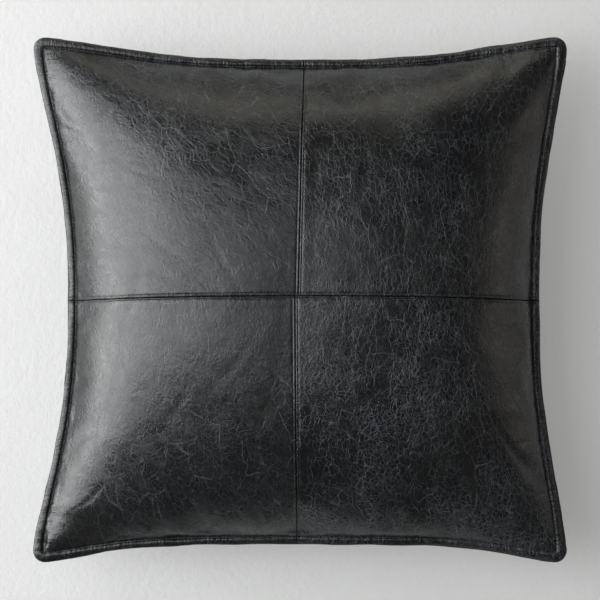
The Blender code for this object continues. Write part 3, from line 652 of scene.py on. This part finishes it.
def back_panel(name, side, finishes):
    """The back above the zip, with side 1, or the strip below it, with side -1."""
    face = Face(-1)
    half = across_at(np.arange(0, ARC_LENGTH, BACK_STEP) / ARC_LENGTH)
    mouth_end = (ZIP_MOUTH / 2 + np.array([-3, -1.5, 0, 1.5, 3, 4.5, 6]) * MM) / HALF_X
    half = np.sort(np.concatenate([half, mouth_end, [1.0]]))
    columns = np.concatenate([-1 - SECTION_SHARE[:0:-1], -half[:0:-1], half, 1 + SECTION_SHARE[1:]])
    length = ZIP_STRIP if side < 0 else (1 - ZIP_V) * ZIP_SCALE
    near = np.concatenate([[SEAM_HALF_GAP] * (len(ROLL_DEPTHS) + 1), SEAM_DISTANCE[1:]])
    depths = np.zeros(len(near))
    depths[: len(ROLL_DEPTHS)] = ROLL_DEPTHS
    v_start = ZIP_V + side * (near[-1] + GRID_STEP) / ZIP_SCALE
    start = side * share_at(v_start)
    count = int((1 - start) * ARC_LENGTH / (BACK_STEP if side > 0 else GRID_STEP))
    far = (side * across_at(np.linspace(start, 1, count + 1)) - ZIP_V) * ZIP_SCALE * side
    reach = np.concatenate([near, far])
    shift = (1 - smooth_step(reach / (0.9 * length)))[:, None] * zip_opening(columns)[None]
    rows_b = ZIP_V + side * (reach[:, None] + shift) / ZIP_SCALE
    rows_b = np.concatenate([rows_b, side * (1 + SECTION_SHARE[1:])[:, None] + 0 * columns[None]])
    a = np.broadcast_to(columns, rows_b.shape)
    distance = np.concatenate([reach, np.full(len(SECTION_SHARE) - 1, length)])
    depth = np.concatenate([depths, np.zeros(len(distance) - len(depths))])
    seam = np.interp(distance, SEAM_DISTANCE, SEAM_HEIGHT)
    outer, _ = face.outer(a, rows_b, (depth + seam)[:, None] + 0 * a)
    margin, foot = len(ROLL_DEPTHS) + int(np.searchsorted(SEAM_DISTANCE, MARGIN)), len(reach) - 1
    kept_rows = sorted({0, margin, margin + 1, *range(margin + 5, foot - 2, 6), foot, len(distance) - 1})
    inside = np.flatnonzero(np.abs(columns) < 1)
    kept_columns = sorted({0, inside[0] - 1, *inside[3:-3:5].tolist(), inside[-1] + 1, len(columns) - 1})
    thick = np.where(distance[kept_rows] <= MARGIN + 1 * MM, TURNED, LEATHER)[:, None]
    chosen = np.ix_(kept_rows, kept_columns)
    inner = face.inner(a[chosen], rows_b[chosen], thick + 0 * a[chosen])
    made = closed_sheet(name, outer, inner, kept_rows, kept_columns, finishes)
    return made


# ---- stitches ----


def stitch_form():
    """One stitch lying along x: a thin rod whose ends dive into the leather."""
    sides, rings = 6, 7
    points = []
    for ring in range(rings):
        along = -1 + 2 * ring / (rings - 1)
        radius = THREAD_RADIUS * (1 - 0.45 * along**6)
        height = THREAD_RADIUS * (0.3 - 2.6 * along**4)
        for side in range(sides):
            turn = 2 * math.pi * side / sides
            points.append((
                along * STITCH_LENGTH / 2, radius * math.cos(turn), height + radius * math.sin(turn)
            ))
    return np.array(points), tube_faces(rings, sides)


STITCH_POINTS, STITCH_FACES = stitch_form()


def stitches(name, places, normals, finish, pitch=STITCH_PITCH, closed=False):
    """A row of stitches along a line of surface points."""
    if closed:
        places, normals = np.concatenate([places, places[:1]]), np.concatenate([normals, normals[:1]])
    walked = np.concatenate([[0], np.cumsum(np.linalg.norm(np.diff(places, axis=0), axis=1))])
    count = int(walked[-1] / pitch)
    at = (np.arange(count) + 0.5) * walked[-1] / count

    def read(values, where):
        return np.stack([np.interp(where, walked, column) for column in values.T], -1)

    middle, out = read(places, at), read(normals, at)
    along = read(places, at + 0.4 * pitch) - read(places, at - 0.4 * pitch)
    along /= np.linalg.norm(along, axis=1, keepdims=True)
    out -= along * (out * along).sum(1, keepdims=True)
    out /= np.linalg.norm(out, axis=1, keepdims=True)
    across = np.cross(out, along)
    lean = np.random.default_rng(count).normal(0, 0.05, (count, 1))
    along, across = along + across * lean, across - along * lean
    axes = np.stack([along, across, out], 1)
    points = middle[:, None] + np.einsum("pk,nkc->npc", STITCH_POINTS, axes)
    faces = [
        tuple(corner + len(STITCH_POINTS) * number for corner in face)
        for number in range(count)
        for face in STITCH_FACES
    ]
    mesh = bpy.data.meshes.new(name)
    mesh.from_pydata(points.reshape(-1, 3).tolist(), [], faces)
    mesh.shade_smooth()
    return new_object(name, mesh, finish)


def stitched_line(name, face, a, b, finish, **options):
    places, normals = face.outer(a, b)
    return stitches(name, places, normals, finish, **options)


def rim_line(share):
    """a and b along a closed line on the flange, at a share of its width."""
    out = 1 + share
    corner = np.linspace(1, out, 4)[1:]
    run = np.concatenate([-corner[::-1], even_line(300), corner])
    flat = np.full(len(run), out)
    a = np.concatenate([run, flat, -run, -flat])
    b = np.concatenate([-flat, run, flat, -run])
    return a, b


# ---- materials ----


class Shader:
    """A material being wired up: add() makes a node, and takes numbers, colours or other nodes' outputs."""

    def __init__(self, name, roughness, **numbers):
        self.material = bpy.data.materials.new(name)
        self.material.use_nodes = True
        self.tree = self.material.node_tree
        self.out = self.tree.nodes["Principled BSDF"]
        self.out.inputs["Roughness"].default_value = roughness
        for label, value in numbers.items():
            self.out.inputs[label.replace("_", " ")].default_value = value
        self.place = self.tree.nodes.new("ShaderNodeTexCoord").outputs["Object"]

    def add(self, kind, *values, output=0, **settings):
        node = self.tree.nodes.new("ShaderNode" + kind)
        for label, value in settings.items():
            if hasattr(node, label):
                setattr(node, label, value)
            else:
                self.join(value, node.inputs[label.replace("_", " ")])
        for value, socket in zip(values, node.inputs):
            self.join(value, socket)
        return node.outputs[output]

    def join(self, value, socket):
        if isinstance(value, bpy.types.NodeSocket):
            self.tree.links.new(value, socket)
        elif value is not None:
            socket.default_value = value

    def math(self, operation, *values, clamp=False):
        return self.add("Math", *values, operation=operation, use_clamp=clamp)

    def noise(self, scale, detail=2.0, roughness=0.5, distortion=0.0, place=None):
        return self.add(
            "TexNoise", Vector=place or self.place, Scale=scale, Detail=detail, Roughness=roughness,
            Distortion=distortion,
        )

    def cells(self, scale, feature="F1", place=None):
        return self.add("TexVoronoi", Vector=place or self.place, Scale=scale, feature=feature)

    def ramp(self, value, low, high, start=0.0, end=1.0):
        return self.add(
            "MapRange", Value=value, From_Min=low, From_Max=high, To_Min=start, To_Max=end,
            interpolation_type="SMOOTHSTEP",
        )

    def moved(self, place, offset=(0, 0, 0), turn=(0, 0, 0), scale=(1, 1, 1), kind="POINT"):
        """Coordinates moved, turned and scaled. Of kind TEXTURE, scale is the size of a cell."""
        return self.add("Mapping", place, offset, turn, scale, vector_type=kind)

    def waves(self, direction, scale, distortion, place=None):
        bands = self.add(
            "TexWave", Vector=place or self.place, Scale=scale, Distortion=distortion,
            bands_direction=direction,
        )
        return self.add("SeparateColor", bands)

    def blend(self, share, low, high):
        node = self.tree.nodes.new("ShaderNodeMix")
        node.data_type = "RGBA"
        self.join(share, node.inputs["Factor"])
        self.join(low, node.inputs[6])
        self.join(high, node.inputs[7])
        return node.outputs[2]

    def colour(self, value):
        self.join(value, self.out.inputs["Base Color"])

    def roughness(self, value):
        self.join(value, self.out.inputs["Roughness"])

    def bump(self, height, distance, strength=1.0):
        shaped = self.add("Bump", Strength=strength, Distance=distance, Height=height)
        self.join(shaped, self.out.inputs["Normal"])


def crimps(shader):
    """Fine gathers that cross the flange and the foot of the crown at right angles to the edge."""
    x, y, z = (shader.add("SeparateXYZ", shader.place, output=number) for number in range(3))
    x, y, z = (shader.math("ABSOLUTE", axis) for axis in (x, y, shader.math("SUBTRACT", z, MIDDLE_Z)))
    beside = shader.math("GREATER_THAN", x, y)  # 1 along the left and right edges
    short, long = 1.7 * MM, 16 * MM
    rows = [
        shader.noise(1, 2, 0.5, place=shader.moved(shader.place, scale=size, kind="TEXTURE"))
        for size in ((short, long, long), (long, short, long))
    ]
    along = shader.math("MULTIPLY_ADD", beside, shader.math("SUBTRACT", rows[1], rows[0]), rows[0])
    patchy = shader.ramp(shader.noise(28, 2), 0.35, 0.6, 0.8, 3.4)
    near = shader.ramp(z, 3.6 * MM, 13 * MM, 1, 0)
    return shader.math("MULTIPLY", along, shader.math("MULTIPLY", near, patchy))


def leather(name, offset, turn, crackle):
    """Black waxed leather. Its creases show lighter where the wax has been pulled: a net of long cells that
    run at turn degrees from the pillow's y, and smaller nets within. crackle is how worn this hide is."""
    shader = Shader(name, 0.35, Specular_IOR_Level=0.55)
    wobble = shader.add("TexNoise", Vector=shader.place, Scale=48, Detail=5, output=1)
    bent = shader.add("VectorMath", wobble, (14 * MM,) * 3, shader.place, operation="MULTIPLY_ADD")

    def laid(across, along, shift):
        """Coordinates in cells of this many millimetres, along the hide's grain."""
        start = tuple(part + shift for part in offset)
        size = (across * MM, along * MM, along * MM)
        return shader.moved(bent, start, (0, 0, math.radians(turn + 9 * shift)), size, "TEXTURE")

    def net(across, along, width, shift):
        edge = shader.cells(1, "DISTANCE_TO_EDGE", laid(across, along, shift))
        return shader.ramp(edge, 0, width, 1, 0)

    def patches(size, low, high, shift):
        return shader.ramp(shader.noise(1, 3, 0.6, place=laid(size, 1.6 * size, shift)), low, high)

    worn = patches(75, 0.35, 0.62, 0.3)
    large = shader.math("MULTIPLY", net(25, 66, 0.0105, 0.0), patches(24, 0.42, 0.56, 0.7))
    medium = shader.math("MULTIPLY", net(9.5, 19, 0.021, 1.1), patches(14, 0.42, 0.58, 1.9))
    small = shader.math("MULTIPLY", net(4.6, 8.6, 0.04, 2.3), patches(17, 0.33, 0.53, 2.9))
    finest = shader.math("MULTIPLY", net(2.8, 4.2, 0.075, 3.1), worn)
    veins = shader.math("MULTIPLY_ADD", medium, 0.4 + 0.4 * crackle, shader.math("MULTIPLY", large, 0.9))
    veins = shader.math("MULTIPLY_ADD", small, 0.15 + 0.6 * crackle, veins)
    veins = shader.math("MULTIPLY_ADD", finest, 0.1 + 0.5 * crackle, veins)
    pulled = shader.math("MULTIPLY", veins, shader.math("MULTIPLY_ADD", worn, 0.45, 0.55), clamp=True)

    tint = patches(60, 0.35, 0.65, 3.7)
    base = shader.blend(tint, (0.0042, 0.0046, 0.0054, 1), (0.0088, 0.0089, 0.0084, 1))
    shown = shader.math("MULTIPLY", pulled, 0.3 + 0.65 * crackle)
    shader.colour(shader.blend(shown, base, (0.088, 0.095, 0.109, 1)))
    matt = shader.math("MULTIPLY_ADD", patches(9, 0.3, 0.7, 4.1), 0.12, 0.21)
    shader.roughness(shader.math("MULTIPLY_ADD", pulled, 0.06, matt))

    pebble = shader.math("SUBTRACT", 1.0, shader.cells(1, "F1", laid(1.5, 1.9, 0.5)))
    wrinkle = shader.noise(1, 3, 0.55, place=laid(1.9, 4.2, 1.3))
    lump = shader.noise(1, 2, 0.5, place=laid(8, 13, 2.1))
    height = shader.math("MULTIPLY_ADD", wrinkle, 1.15, shader.math("MULTIPLY", pebble, 0.22))
    height = shader.math("MULTIPLY_ADD", lump, 0.55, height)
    height = shader.math("MULTIPLY_ADD", veins, -0.15 - 0.3 * crackle, height)
    height = shader.math("ADD", crimps(shader), height)
    shader.bump(height, 0.3 * MM)
    return shader.material


def flesh_side():
    shader = Shader("leather_flesh_side", 0.95)
    fluff = shader.noise(420, 4, 0.7)
    shader.colour(shader.blend(fluff, (0.02, 0.019, 0.018, 1), (0.06, 0.055, 0.05, 1)))
    shader.bump(fluff, 0.5 * MM)
    return shader.material


def sewing_thread(name="sewing_thread", dark=(0.014, 0.015, 0.017, 1), light=(0.06, 0.063, 0.068, 1)):
    shader = Shader(name, 0.5, Sheen_Weight=0.25)
    fibres = shader.noise(3200, 2)
    shader.colour(shader.blend(shader.ramp(shader.noise(260), 0.3, 0.7), dark, light))
    shader.bump(fibres, 0.12 * MM, 0.8)
    return shader.material


def zip_tape():
    """Twill tape: fine ribs along the zip, crossed by the weft."""
    shader = Shader("zip_tape_twill", 0.85, Sheen_Weight=0.2)
    tilt = math.atan2(ZIP_ACROSS.z, -ZIP_ACROSS.y)
    laid = shader.moved(shader.moved(shader.place, -ZIP_ORIGIN), turn=(tilt, 0, 0))
    ribs = shader.waves("Y", 360, 0.4, laid)
    weave = shader.math("MULTIPLY", ribs, shader.waves("DIAGONAL", 520, 0.3, laid))
    shader.colour(shader.blend(weave, (0.006, 0.006, 0.007, 1), (0.036, 0.037, 0.04, 1)))
    shader.bump(weave, 0.2 * MM)
    return shader.material


def moulded(name, dark, light, roughness):
    shader = Shader(name, roughness)
    speckle = shader.noise(900, 3)
    shader.colour(shader.blend(speckle, dark, light))
    shader.roughness(shader.math("MULTIPLY_ADD", speckle, 0.2, roughness - 0.1))
    shader.bump(shader.noise(2500, 2), 0.02 * MM)
    return shader.material


def plated_metal():
    """Dark gunmetal plating, rubbed brighter in places."""
    shader = Shader("gunmetal_plating", 0.3, Metallic=1.0)
    rubbed = shader.ramp(shader.noise(420, 4, 0.6), 0.45, 0.7)
    shader.colour(shader.blend(rubbed, (0.085, 0.086, 0.09, 1), (0.24, 0.24, 0.245, 1)))
    scratches = shader.noise(4000, 2, place=shader.moved(shader.place, scale=(0.2, 1, 1)))
    shader.roughness(shader.math("MULTIPLY_ADD", scratches, 0.25, 0.18))
    shader.bump(scratches, 0.012 * MM)
    return shader.material


def plain_weave(name, dark, light, scale, height):
    """Cloth woven one over one, seen as crossed bands in x and y."""
    shader = Shader(name, 0.9, Sheen_Weight=0.3)
    weave = shader.math("MAXIMUM", shader.waves("X", scale, 0.6), shader.waves("Y", scale, 0.6))
    slubs = shader.math("MULTIPLY", weave, shader.ramp(shader.noise(140, 3), 0.2, 0.8, 0.6, 1))
    shader.colour(shader.blend(slubs, dark, light))
    shader.bump(slubs, height)
    return shader.material


def fibre_wool():
    shader = Shader("siliconised_fibre", 0.95, Sheen_Weight=0.5)
    drawn = shader.moved(shader.place, turn=(0.3, 0.2, 0.6), scale=(0.25, 1, 1))
    strands = shader.noise(700, 5, 0.7, 1.2, place=drawn)
    shader.colour(shader.blend(strands, (0.72, 0.72, 0.7, 1), (0.93, 0.93, 0.92, 1)))
    shader.bump(strands, 1.2 * MM)
    return shader.material


# ---- the zip ----


def on_zip(points):
    """Points of the zip's own frame, in the row frame."""
    return np.asarray(points, float) @ ZIP_AXES + np.array(ZIP_ORIGIN)


def zip_range(node):
    """Lowest and highest corner of a CAD node in the zip's own frame."""
    places = np.array([vertex.co for vertex in frame["nodes"][node].data.vertices], float)
    local = (places - np.array(ZIP_ORIGIN)) @ ZIP_AXES.T
    return local.min(0), local.max(0)


def tape(name, node, side, finish):
    """One side of the zip's tape: cloth with a corded edge beside the teeth, a little wavy along it."""
    low, high = zip_range(node)
    inner_edge, outer_edge = (low[1], high[1]) if side > 0 else (high[1], low[1])
    along = np.linspace(low[0], high[0], 240)
    share = np.array([0, 0.012, 0.05, 0.09, 0.13, 0.2, 0.4, 0.6, 0.8, 0.93, 0.985, 1.0])
    x, t = np.meshgrid(along, share)
    y = inner_edge + (outer_edge - inner_edge) * t
    thick = (high[2] - low[2]) / 2
    cord = 0.35 * MM * np.exp(-(((t - 0.05) / 0.045) ** 2))
    wave = 0.1 * MM * lattice(x, y, 9 * MM, 31 + side) * t
    half = thick * np.sqrt(np.clip(1 - (2 * t - 1) ** 16, 0.02, 1)) + cord
    middle = (low[2] + high[2]) / 2 + wave
    top = on_zip(np.stack([x, y, middle + half], -1))
    bottom = on_zip(np.stack([x, y, middle - half], -1))
    return closed_sheet(name, top, bottom, range(len(share)), range(len(along)), [finish, finish])


TOOTH_PITCH = 2.6 * MM
TOOTH_ROOM = 1.0 * MM  # from the row's start to its first tooth
TEETH_END = 6.3 * MM  # the last teeth are held in the slider, and end at its post
CORD_OUT = 2.15 * MM  # of the cord's middle, from the zip's line
CORD_HALF = (0.5 * MM, 0.62 * MM)  # its half width and half height


def tooth_form(side, thickness):
    """One tooth about its own middle line: a leg clamped on the cord, a waist, and a rounded head."""
    half = [(0.36, -0.62), (0.54, -0.2), (0.5, 0.25), (0.36, 0.9), (0.5, 1.7), (0.62, 2.5), (0.5, 2.85)]
    outline = half + [(-x, y) for x, y in reversed(half)]
    levels = [(-0.5, 0.8), (-0.4, 0.97), (-0.15, 1.0), (0.15, 1.0), (0.4, 0.97), (0.5, 0.8)]
    centre = 1.2
    points = [
        (x * size * MM, side * (centre + (y - centre) * (0.5 + size / 2)) * MM, level * thickness)
        for level, size in levels
        for x, y in outline
    ]
    return np.array(points), tube_faces(len(levels), len(outline))


def teeth(name, node, side, finish):
    """One row of teeth, each moulded round the tape's corded edge, and the cord between them."""
    low, high = zip_range(node)
    first = low[0] + TOOTH_ROOM + (0 if side > 0 else TOOTH_PITCH / 2)
    last = high[0] - TEETH_END
    middle = (low[2] + high[2]) / 2
    form, form_faces = tooth_form(side, high[2] - low[2])
    centres = [first + TOOTH_PITCH * number for number in range(math.ceil((last - first) / TOOTH_PITCH))]
    points, faces = [], []
    for centre in centres:
        faces += [tuple(corner + len(points) for corner in face) for face in form_faces]
        points += (form + (centre, 0, middle)).tolist()
    rings, sides = 2 * len(centres), 8
    faces += tube_faces(rings, sides, len(points))
    for x in np.linspace(low[0], high[0], rings):
        for number in range(sides):
            turn = 2 * math.pi * number / sides
            out = CORD_OUT + CORD_HALF[0] * math.cos(turn)
            points.append((x, side * out, middle + CORD_HALF[1] * math.sin(turn)))
    mesh = bpy.data.meshes.new(name)
    mesh.from_pydata(on_zip(points).tolist(), [], faces)
    faced_outwards(mesh)
    mesh.shade_smooth()
    mesh.set_sharp_from_angle(angle=math.radians(50))
    return new_object(name, mesh, finish)


def softened(name, node, finish, radius, segments=2, smooth_angle=40):
    """A CAD node's shape again, with its sharp edges rounded."""
    work = bmesh.new()
    work.from_mesh(frame["nodes"][node].data)
    bmesh.ops.remove_doubles(work, verts=work.verts, dist=MM / 500)
    bmesh.ops.dissolve_limit(work, angle_limit=math.radians(1.5), verts=work.verts, edges=work.edges)
    sharp = [edge for edge in work.edges if edge.is_manifold and edge.calc_face_angle(0) > math.radians(35)]
    bmesh.ops.bevel(
        work, geom=sharp, offset=radius, segments=segments, profile=0.5, affect="EDGES", clamp_overlap=True
    )
    mesh = bpy.data.meshes.new(name)
    work.to_mesh(mesh)
    work.free()
    mesh.shade_smooth()
    mesh.set_sharp_from_angle(angle=math.radians(smooth_angle))
    return new_object(name, mesh, finish)


def care_label(finish):
    """A blank folded label sewn to the tape, curling a little."""
    low, high = zip_range("care_label")
    x, y = np.meshgrid(np.linspace(low[0], high[0], 60), np.linspace(low[1], high[1], 20))
    t = (y - low[1]) / (high[1] - low[1])
    middle = (low[2] + high[2]) / 2 - 0.5 * MM * t**2 + 0.1 * MM * lattice(x, y, 7 * MM, 51) * t
    half = (high[2] - low[2]) / 2 * (1 - 0.35 * (t > 0.97))
    top = on_zip(np.stack([x, y, middle + half], -1))
    bottom = on_zip(np.stack([x, y, middle - half], -1))
    return closed_sheet("care_label_cloth", top, bottom, range(20), range(60), [finish, finish])


# ---- the insert ----

INSERT_SETBACK = 12 * MM
INSERT_LIP = 5 * MM
TICKING = 0.4 * MM
INSERT_CLEAR = {1: 5.2 * MM, -1: 7.6 * MM}  # from the leather's face; behind the back it clears the zip


def inward(side, a, b, clear, scale):
    """A surface inside the cover, clear of the leather's face by a distance. It spans the same form, scaled
    down, and comes down to the middle plane at its rim."""
    face = Face(side)
    u, v = np.clip(a, -1, 1), np.clip(b, -1, 1)
    place = face.stuffed(u * scale, v * scale)
    ripple = 0.3 * MM * (1 - lattice(place[..., 0], place[..., 1], 12 * MM, 61 + side))
    place = place - face.normal(u * scale, v * scale) * (clear + ripple)[..., None]
    rim = smooth_step(np.maximum(np.abs(u), np.abs(v)) * 9 - 8)
    place[..., 2] += (MIDDLE_Z + side * 0.5 * MM - place[..., 2]) * rim
    place[..., 0] += (a - u) * INSERT_LIP
    place[..., 1] += (b - v) * INSERT_LIP
    return place


def insert_cloth(name, side, finish):
    line = np.concatenate([[-2, -1.5], even_line(111), [1.5, 2]])
    a, b = np.meshgrid(line, line)
    outer = inward(side, a, b, INSERT_CLEAR[side], 1 - INSERT_SETBACK / HALF_X)
    inner = outer - (0, 0, side * TICKING)
    kept = range(len(line))
    made = closed_sheet(name, outer, inner, kept, kept, [finish, finish])
    return made


def stuffing(finish):
    """The fibre filling: one closed lumpy body."""
    a, b = np.meshgrid(even_line(91), even_line(91))
    rim = np.maximum(np.abs(a), np.abs(b)) >= 1
    scale = 1 - (INSERT_SETBACK + 1.6 * MM) / HALF_X
    sides = []
    for side in (1, -1):
        place = inward(side, a, b, INSERT_CLEAR[side] + 1.4 * MM, scale)
        tufts = 0.8 * MM * (lattice(place[..., 0], place[..., 1], 11 * MM, 71 + side) - 1)
        place[..., 2] = np.where(rim, MIDDLE_Z + side * 0.05 * MM, place[..., 2] + side * tufts)
        sides.append(place)
    made = closed_sheet("fibre_fill", *sides, range(91), range(91), [finish, finish])
    return made


# ---- the object ----


def build_cover():
    flesh = flesh_side()
    patches = [
        ("upper_left", -1, 1, (0.31, 0.12, 0.4), 32, 0.6),
        ("upper_right", 1, 1, (1.27, 0.63, 0.1), -14, 0.85),
        ("lower_left", -1, -1, (2.19, 1.41, 0.7), 8, 0.5),
        ("lower_right", 1, -1, (3.53, 2.08, 0.2), 5, 1.0),
    ]
    for name, side_x, side_y, offset, turn, crackle in patches:
        hide = leather(f"leather_{name}", offset, turn, crackle)
        made = front_panel(f"front_leather_{name}", side_x, side_y, [hide, flesh])
        piece(made, "cover", "leather", f"front_panel_{name}")
    hide = leather("leather_back", (4.1, 3.3, 0.5), 40, 0.55)
    piece(back_panel("back_leather_upper", 1, [hide, flesh]), "cover", "leather", "back_panel_upper")
    piece(back_panel("back_leather_lower", -1, [hide, flesh]), "cover", "leather", "back_panel_lower")


def build_stitching():
    thread = sewing_thread()
    front, back = Face(1), Face(-1)
    half_v, half_u = STITCH_OFFSET / HALF_Y, STITCH_OFFSET / HALF_X
    up = np.linspace(half_v, SEWN_TO, 500)
    for half, side_y in (("upper", 1), ("lower", -1)):
        for hand, side_x in (("left", -1), ("right", 1)):
            made = stitched_line(
                f"stitches_{half}_{hand}", front, np.full(500, side_x * half_u), side_y * up, thread
            )
            piece(made, "cover", "thread", f"topstitch_{half}_{hand}")
    wide = np.linspace(-SEWN_TO, SEWN_TO, 900)
    for place, side_y in (("above", 1), ("below", -1)):
        made = stitched_line(f"stitches_across_{place}", front, wide, np.full(900, side_y * half_v), thread)
        piece(made, "cover", "thread", f"topstitch_across_{place}")
    share = float(np.interp(EDGE_STITCH, SECTION_OUT[:12], SECTION_SHARE[:12]))
    for name, face in (("front", front), ("back", back)):
        a, b = rim_line(share)
        made = stitched_line(f"edge_stitches_{name}", face, a, b, thread, closed=True)
        piece(made, "cover", "thread", f"edge_topstitch_{name}")
    along = np.linspace(-1, 1, 700) * ZIP_MOUTH / 2 / HALF_X
    for name, side in (("lower", -1), ("upper", 1)):
        reach = side * (zip_opening(along) + STITCH_OFFSET)
        depth = np.interp(STITCH_OFFSET, SEAM_DISTANCE, SEAM_HEIGHT)
        places, normals = back.outer(along, ZIP_V + reach / ZIP_SCALE, depth + 0 * along)
        made = stitches(f"zip_stitches_{name}", places, normals, thread)
        piece(made, "cover", "thread", f"zip_topstitch_{name}")


def build_zip():
    cloth = zip_tape()
    nylon = moulded("moulded_teeth", (0.012, 0.012, 0.013, 1), (0.03, 0.03, 0.032, 1), 0.4)
    metal = plated_metal()
    for name, side in (("lower", 1), ("upper", -1)):
        piece(tape(f"tape_{name}", f"zip_tape_{name}", side, cloth), "cover", "tape", f"zip_tape_{name}")
        piece(teeth(f"teeth_{name}", f"zip_teeth_{name}", side, nylon), "cover", "teeth", f"zip_teeth_{name}")
    for node in ("zip_top_stop_lower", "zip_top_stop_upper", "zip_bottom_stop"):
        piece(softened(node.replace("zip_", "clip_"), node, metal, 0.3 * MM, 3), "cover", "metal", node)
    piece(softened("slider_body", "zip_slider", metal, 0.18 * MM, 3), "slider", "metal", "zip_slider")
    piece(softened("slider_pin", "zip_pull_pin", metal, 0.12 * MM), "slider", "metal", "zip_pull_pin")
    piece(softened("slider_tab", "zip_pull_tab", metal, 0.22 * MM, 3), "pull", "metal", "zip_pull_tab")
    white = plain_weave("label_satin", (0.6, 0.6, 0.58, 1), (0.86, 0.86, 0.84, 1), 900, 0.05 * MM)
    piece(care_label(white), "cover", "label", "care_label")


def build_insert():
    ticking = plain_weave("cotton_ticking", (0.6, 0.58, 0.54, 1), (0.86, 0.85, 0.8, 1), 420, 0.12 * MM)
    piece(insert_cloth("insert_case_front", 1, ticking), "cover", "ticking", "insert_cloth_front")
    piece(insert_cloth("insert_case_back", -1, ticking), "cover", "ticking", "insert_cloth_back")
    piece(stuffing(fibre_wool()), "cover", "fibre", "fibre_filling")
    a, b = rim_line(0.5)
    places = inward(1, a, b, INSERT_CLEAR[1], 1 - INSERT_SETBACK / HALF_X)
    normals = np.zeros_like(places)
    normals[:, 2] = 1
    white = sewing_thread("insert_thread", (0.55, 0.54, 0.5, 1), (0.8, 0.79, 0.75, 1))
    made = stitches("insert_seam_stitches", places, normals, white, pitch=3.4 * MM, closed=True)
    piece(made, "cover", "thread", "insert_seam_thread")


# ---- the studio ----


def build_floor():
    mesh = bpy.data.meshes.new("floor")
    reach = 6.0
    level = -0.2 * MM  # just clear of the leather that rests on z = 0
    corners = [(-reach, -reach, level), (reach, -reach, level), (reach, reach, level), (-reach, reach, level)]
    mesh.from_pydata(corners, [], [(0, 1, 2, 3)])
    shader = Shader("pale_plaster", 0.9)
    cloudy = shader.noise(16, 5, 0.6)
    shader.colour(shader.blend(cloudy, (0.45, 0.45, 0.44, 1), (0.5, 0.5, 0.495, 1)))
    # painted light: the floor emits a faint white glow of its own, set below
    shader.out.inputs["Emission Color"].default_value = (1, 1, 0.99, 1)
    away = shader.add("VectorMath", shader.place, operation="LENGTH", output=1)
    painted_fill_glow = shader.ramp(away, 0.4, 1.1, 0.23, 0)  # painted light: the floor glows of itself, most within 0.4 m of the pillow and fading out by 1.1 m, lifting the shadows in place of light from a pale room
    shader.join(painted_fill_glow, shader.out.inputs["Emission Strength"])
    shader.bump(shader.noise(150, 5, 0.65), 1.2 * MM, 0.6)
    new_object("floor", mesh, shader.material)


# Soft panels: name, place, what each shines at, width and height, radiance, colour
LIGHTS = [
    ("key", (-1.8, 0.3, 0.98), (0, 0, 0.05), (2.1, 1.8), 5.6, (0.97, 0.985, 1)),
    ("low_key", (-1.4, 0.1, 0.22), (0, 0, 0.03), (1.9, 0.36), 4.2, (1, 1, 1)),
    ("left_sky", (-0.98, 0.08, 1.85), (0, 0, 0.1), (1.3, 0.85), 3.2, (0.96, 0.98, 1)),
    ("overhead", (-0.2, 0.1, 2.5), (0, 0, 0), (1.4, 1.0), 1.1, (0.94, 0.97, 1)),
    ("top_card", (0.1, 2.0, 0.75), (0, 0, 0.05), (1.8, 0.8), 1.5, (1, 0.96, 0.82)),
    ("right_card", (1.9, 0.1, 0.5), (0, 0, 0.05), (0.8, 0.7), 0.9, (1, 0.92, 0.82)),
]


def area_light(name, place, target, size, radiance, colour):
    """A soft panel that shines at target with a given radiance, unseen by the camera."""
    data = bpy.data.lights.new(name, "AREA")
    data.shape = "RECTANGLE"
    data.size, data.size_y = size
    data.energy = radiance * math.pi * size[0] * size[1]
    data.color = colour
    made = bpy.data.objects.new(name, data)
    made.location = place
    made.rotation_euler = (Vector(target) - Vector(place)).to_track_quat("-Z", "Y").to_euler()
    made.visible_camera = False
    bpy.context.scene.collection.objects.link(made)


def build_studio():
    build_floor()
    for light in LIGHTS:
        area_light(*light)
    world = bpy.data.worlds.new("studio")
    world.use_nodes = True
    world.node_tree.nodes["Background"].inputs["Color"].default_value = (1, 1, 1, 1)
    world.node_tree.nodes["Background"].inputs["Strength"].default_value = 0.09
    bpy.context.scene.world = world
    bpy.context.scene.view_settings.view_transform = "Standard"


LENS = 100  # in mm
SEEN_WIDTH = 0.569  # across the picture, at the height of the flange


def build_camera():
    """Straight above the pillow, as far away as its long lens needs to frame it."""
    data = bpy.data.cameras.new("camera")
    data.lens = LENS
    made = bpy.data.objects.new("camera", data)
    made.location = (0, 0, MIDDLE_Z + SEEN_WIDTH * LENS / data.sensor_width)
    bpy.context.scene.collection.objects.link(made)
    bpy.context.scene.camera = made


build_cover()
build_stitching()
build_zip()
build_insert()
build_studio()
build_camera()
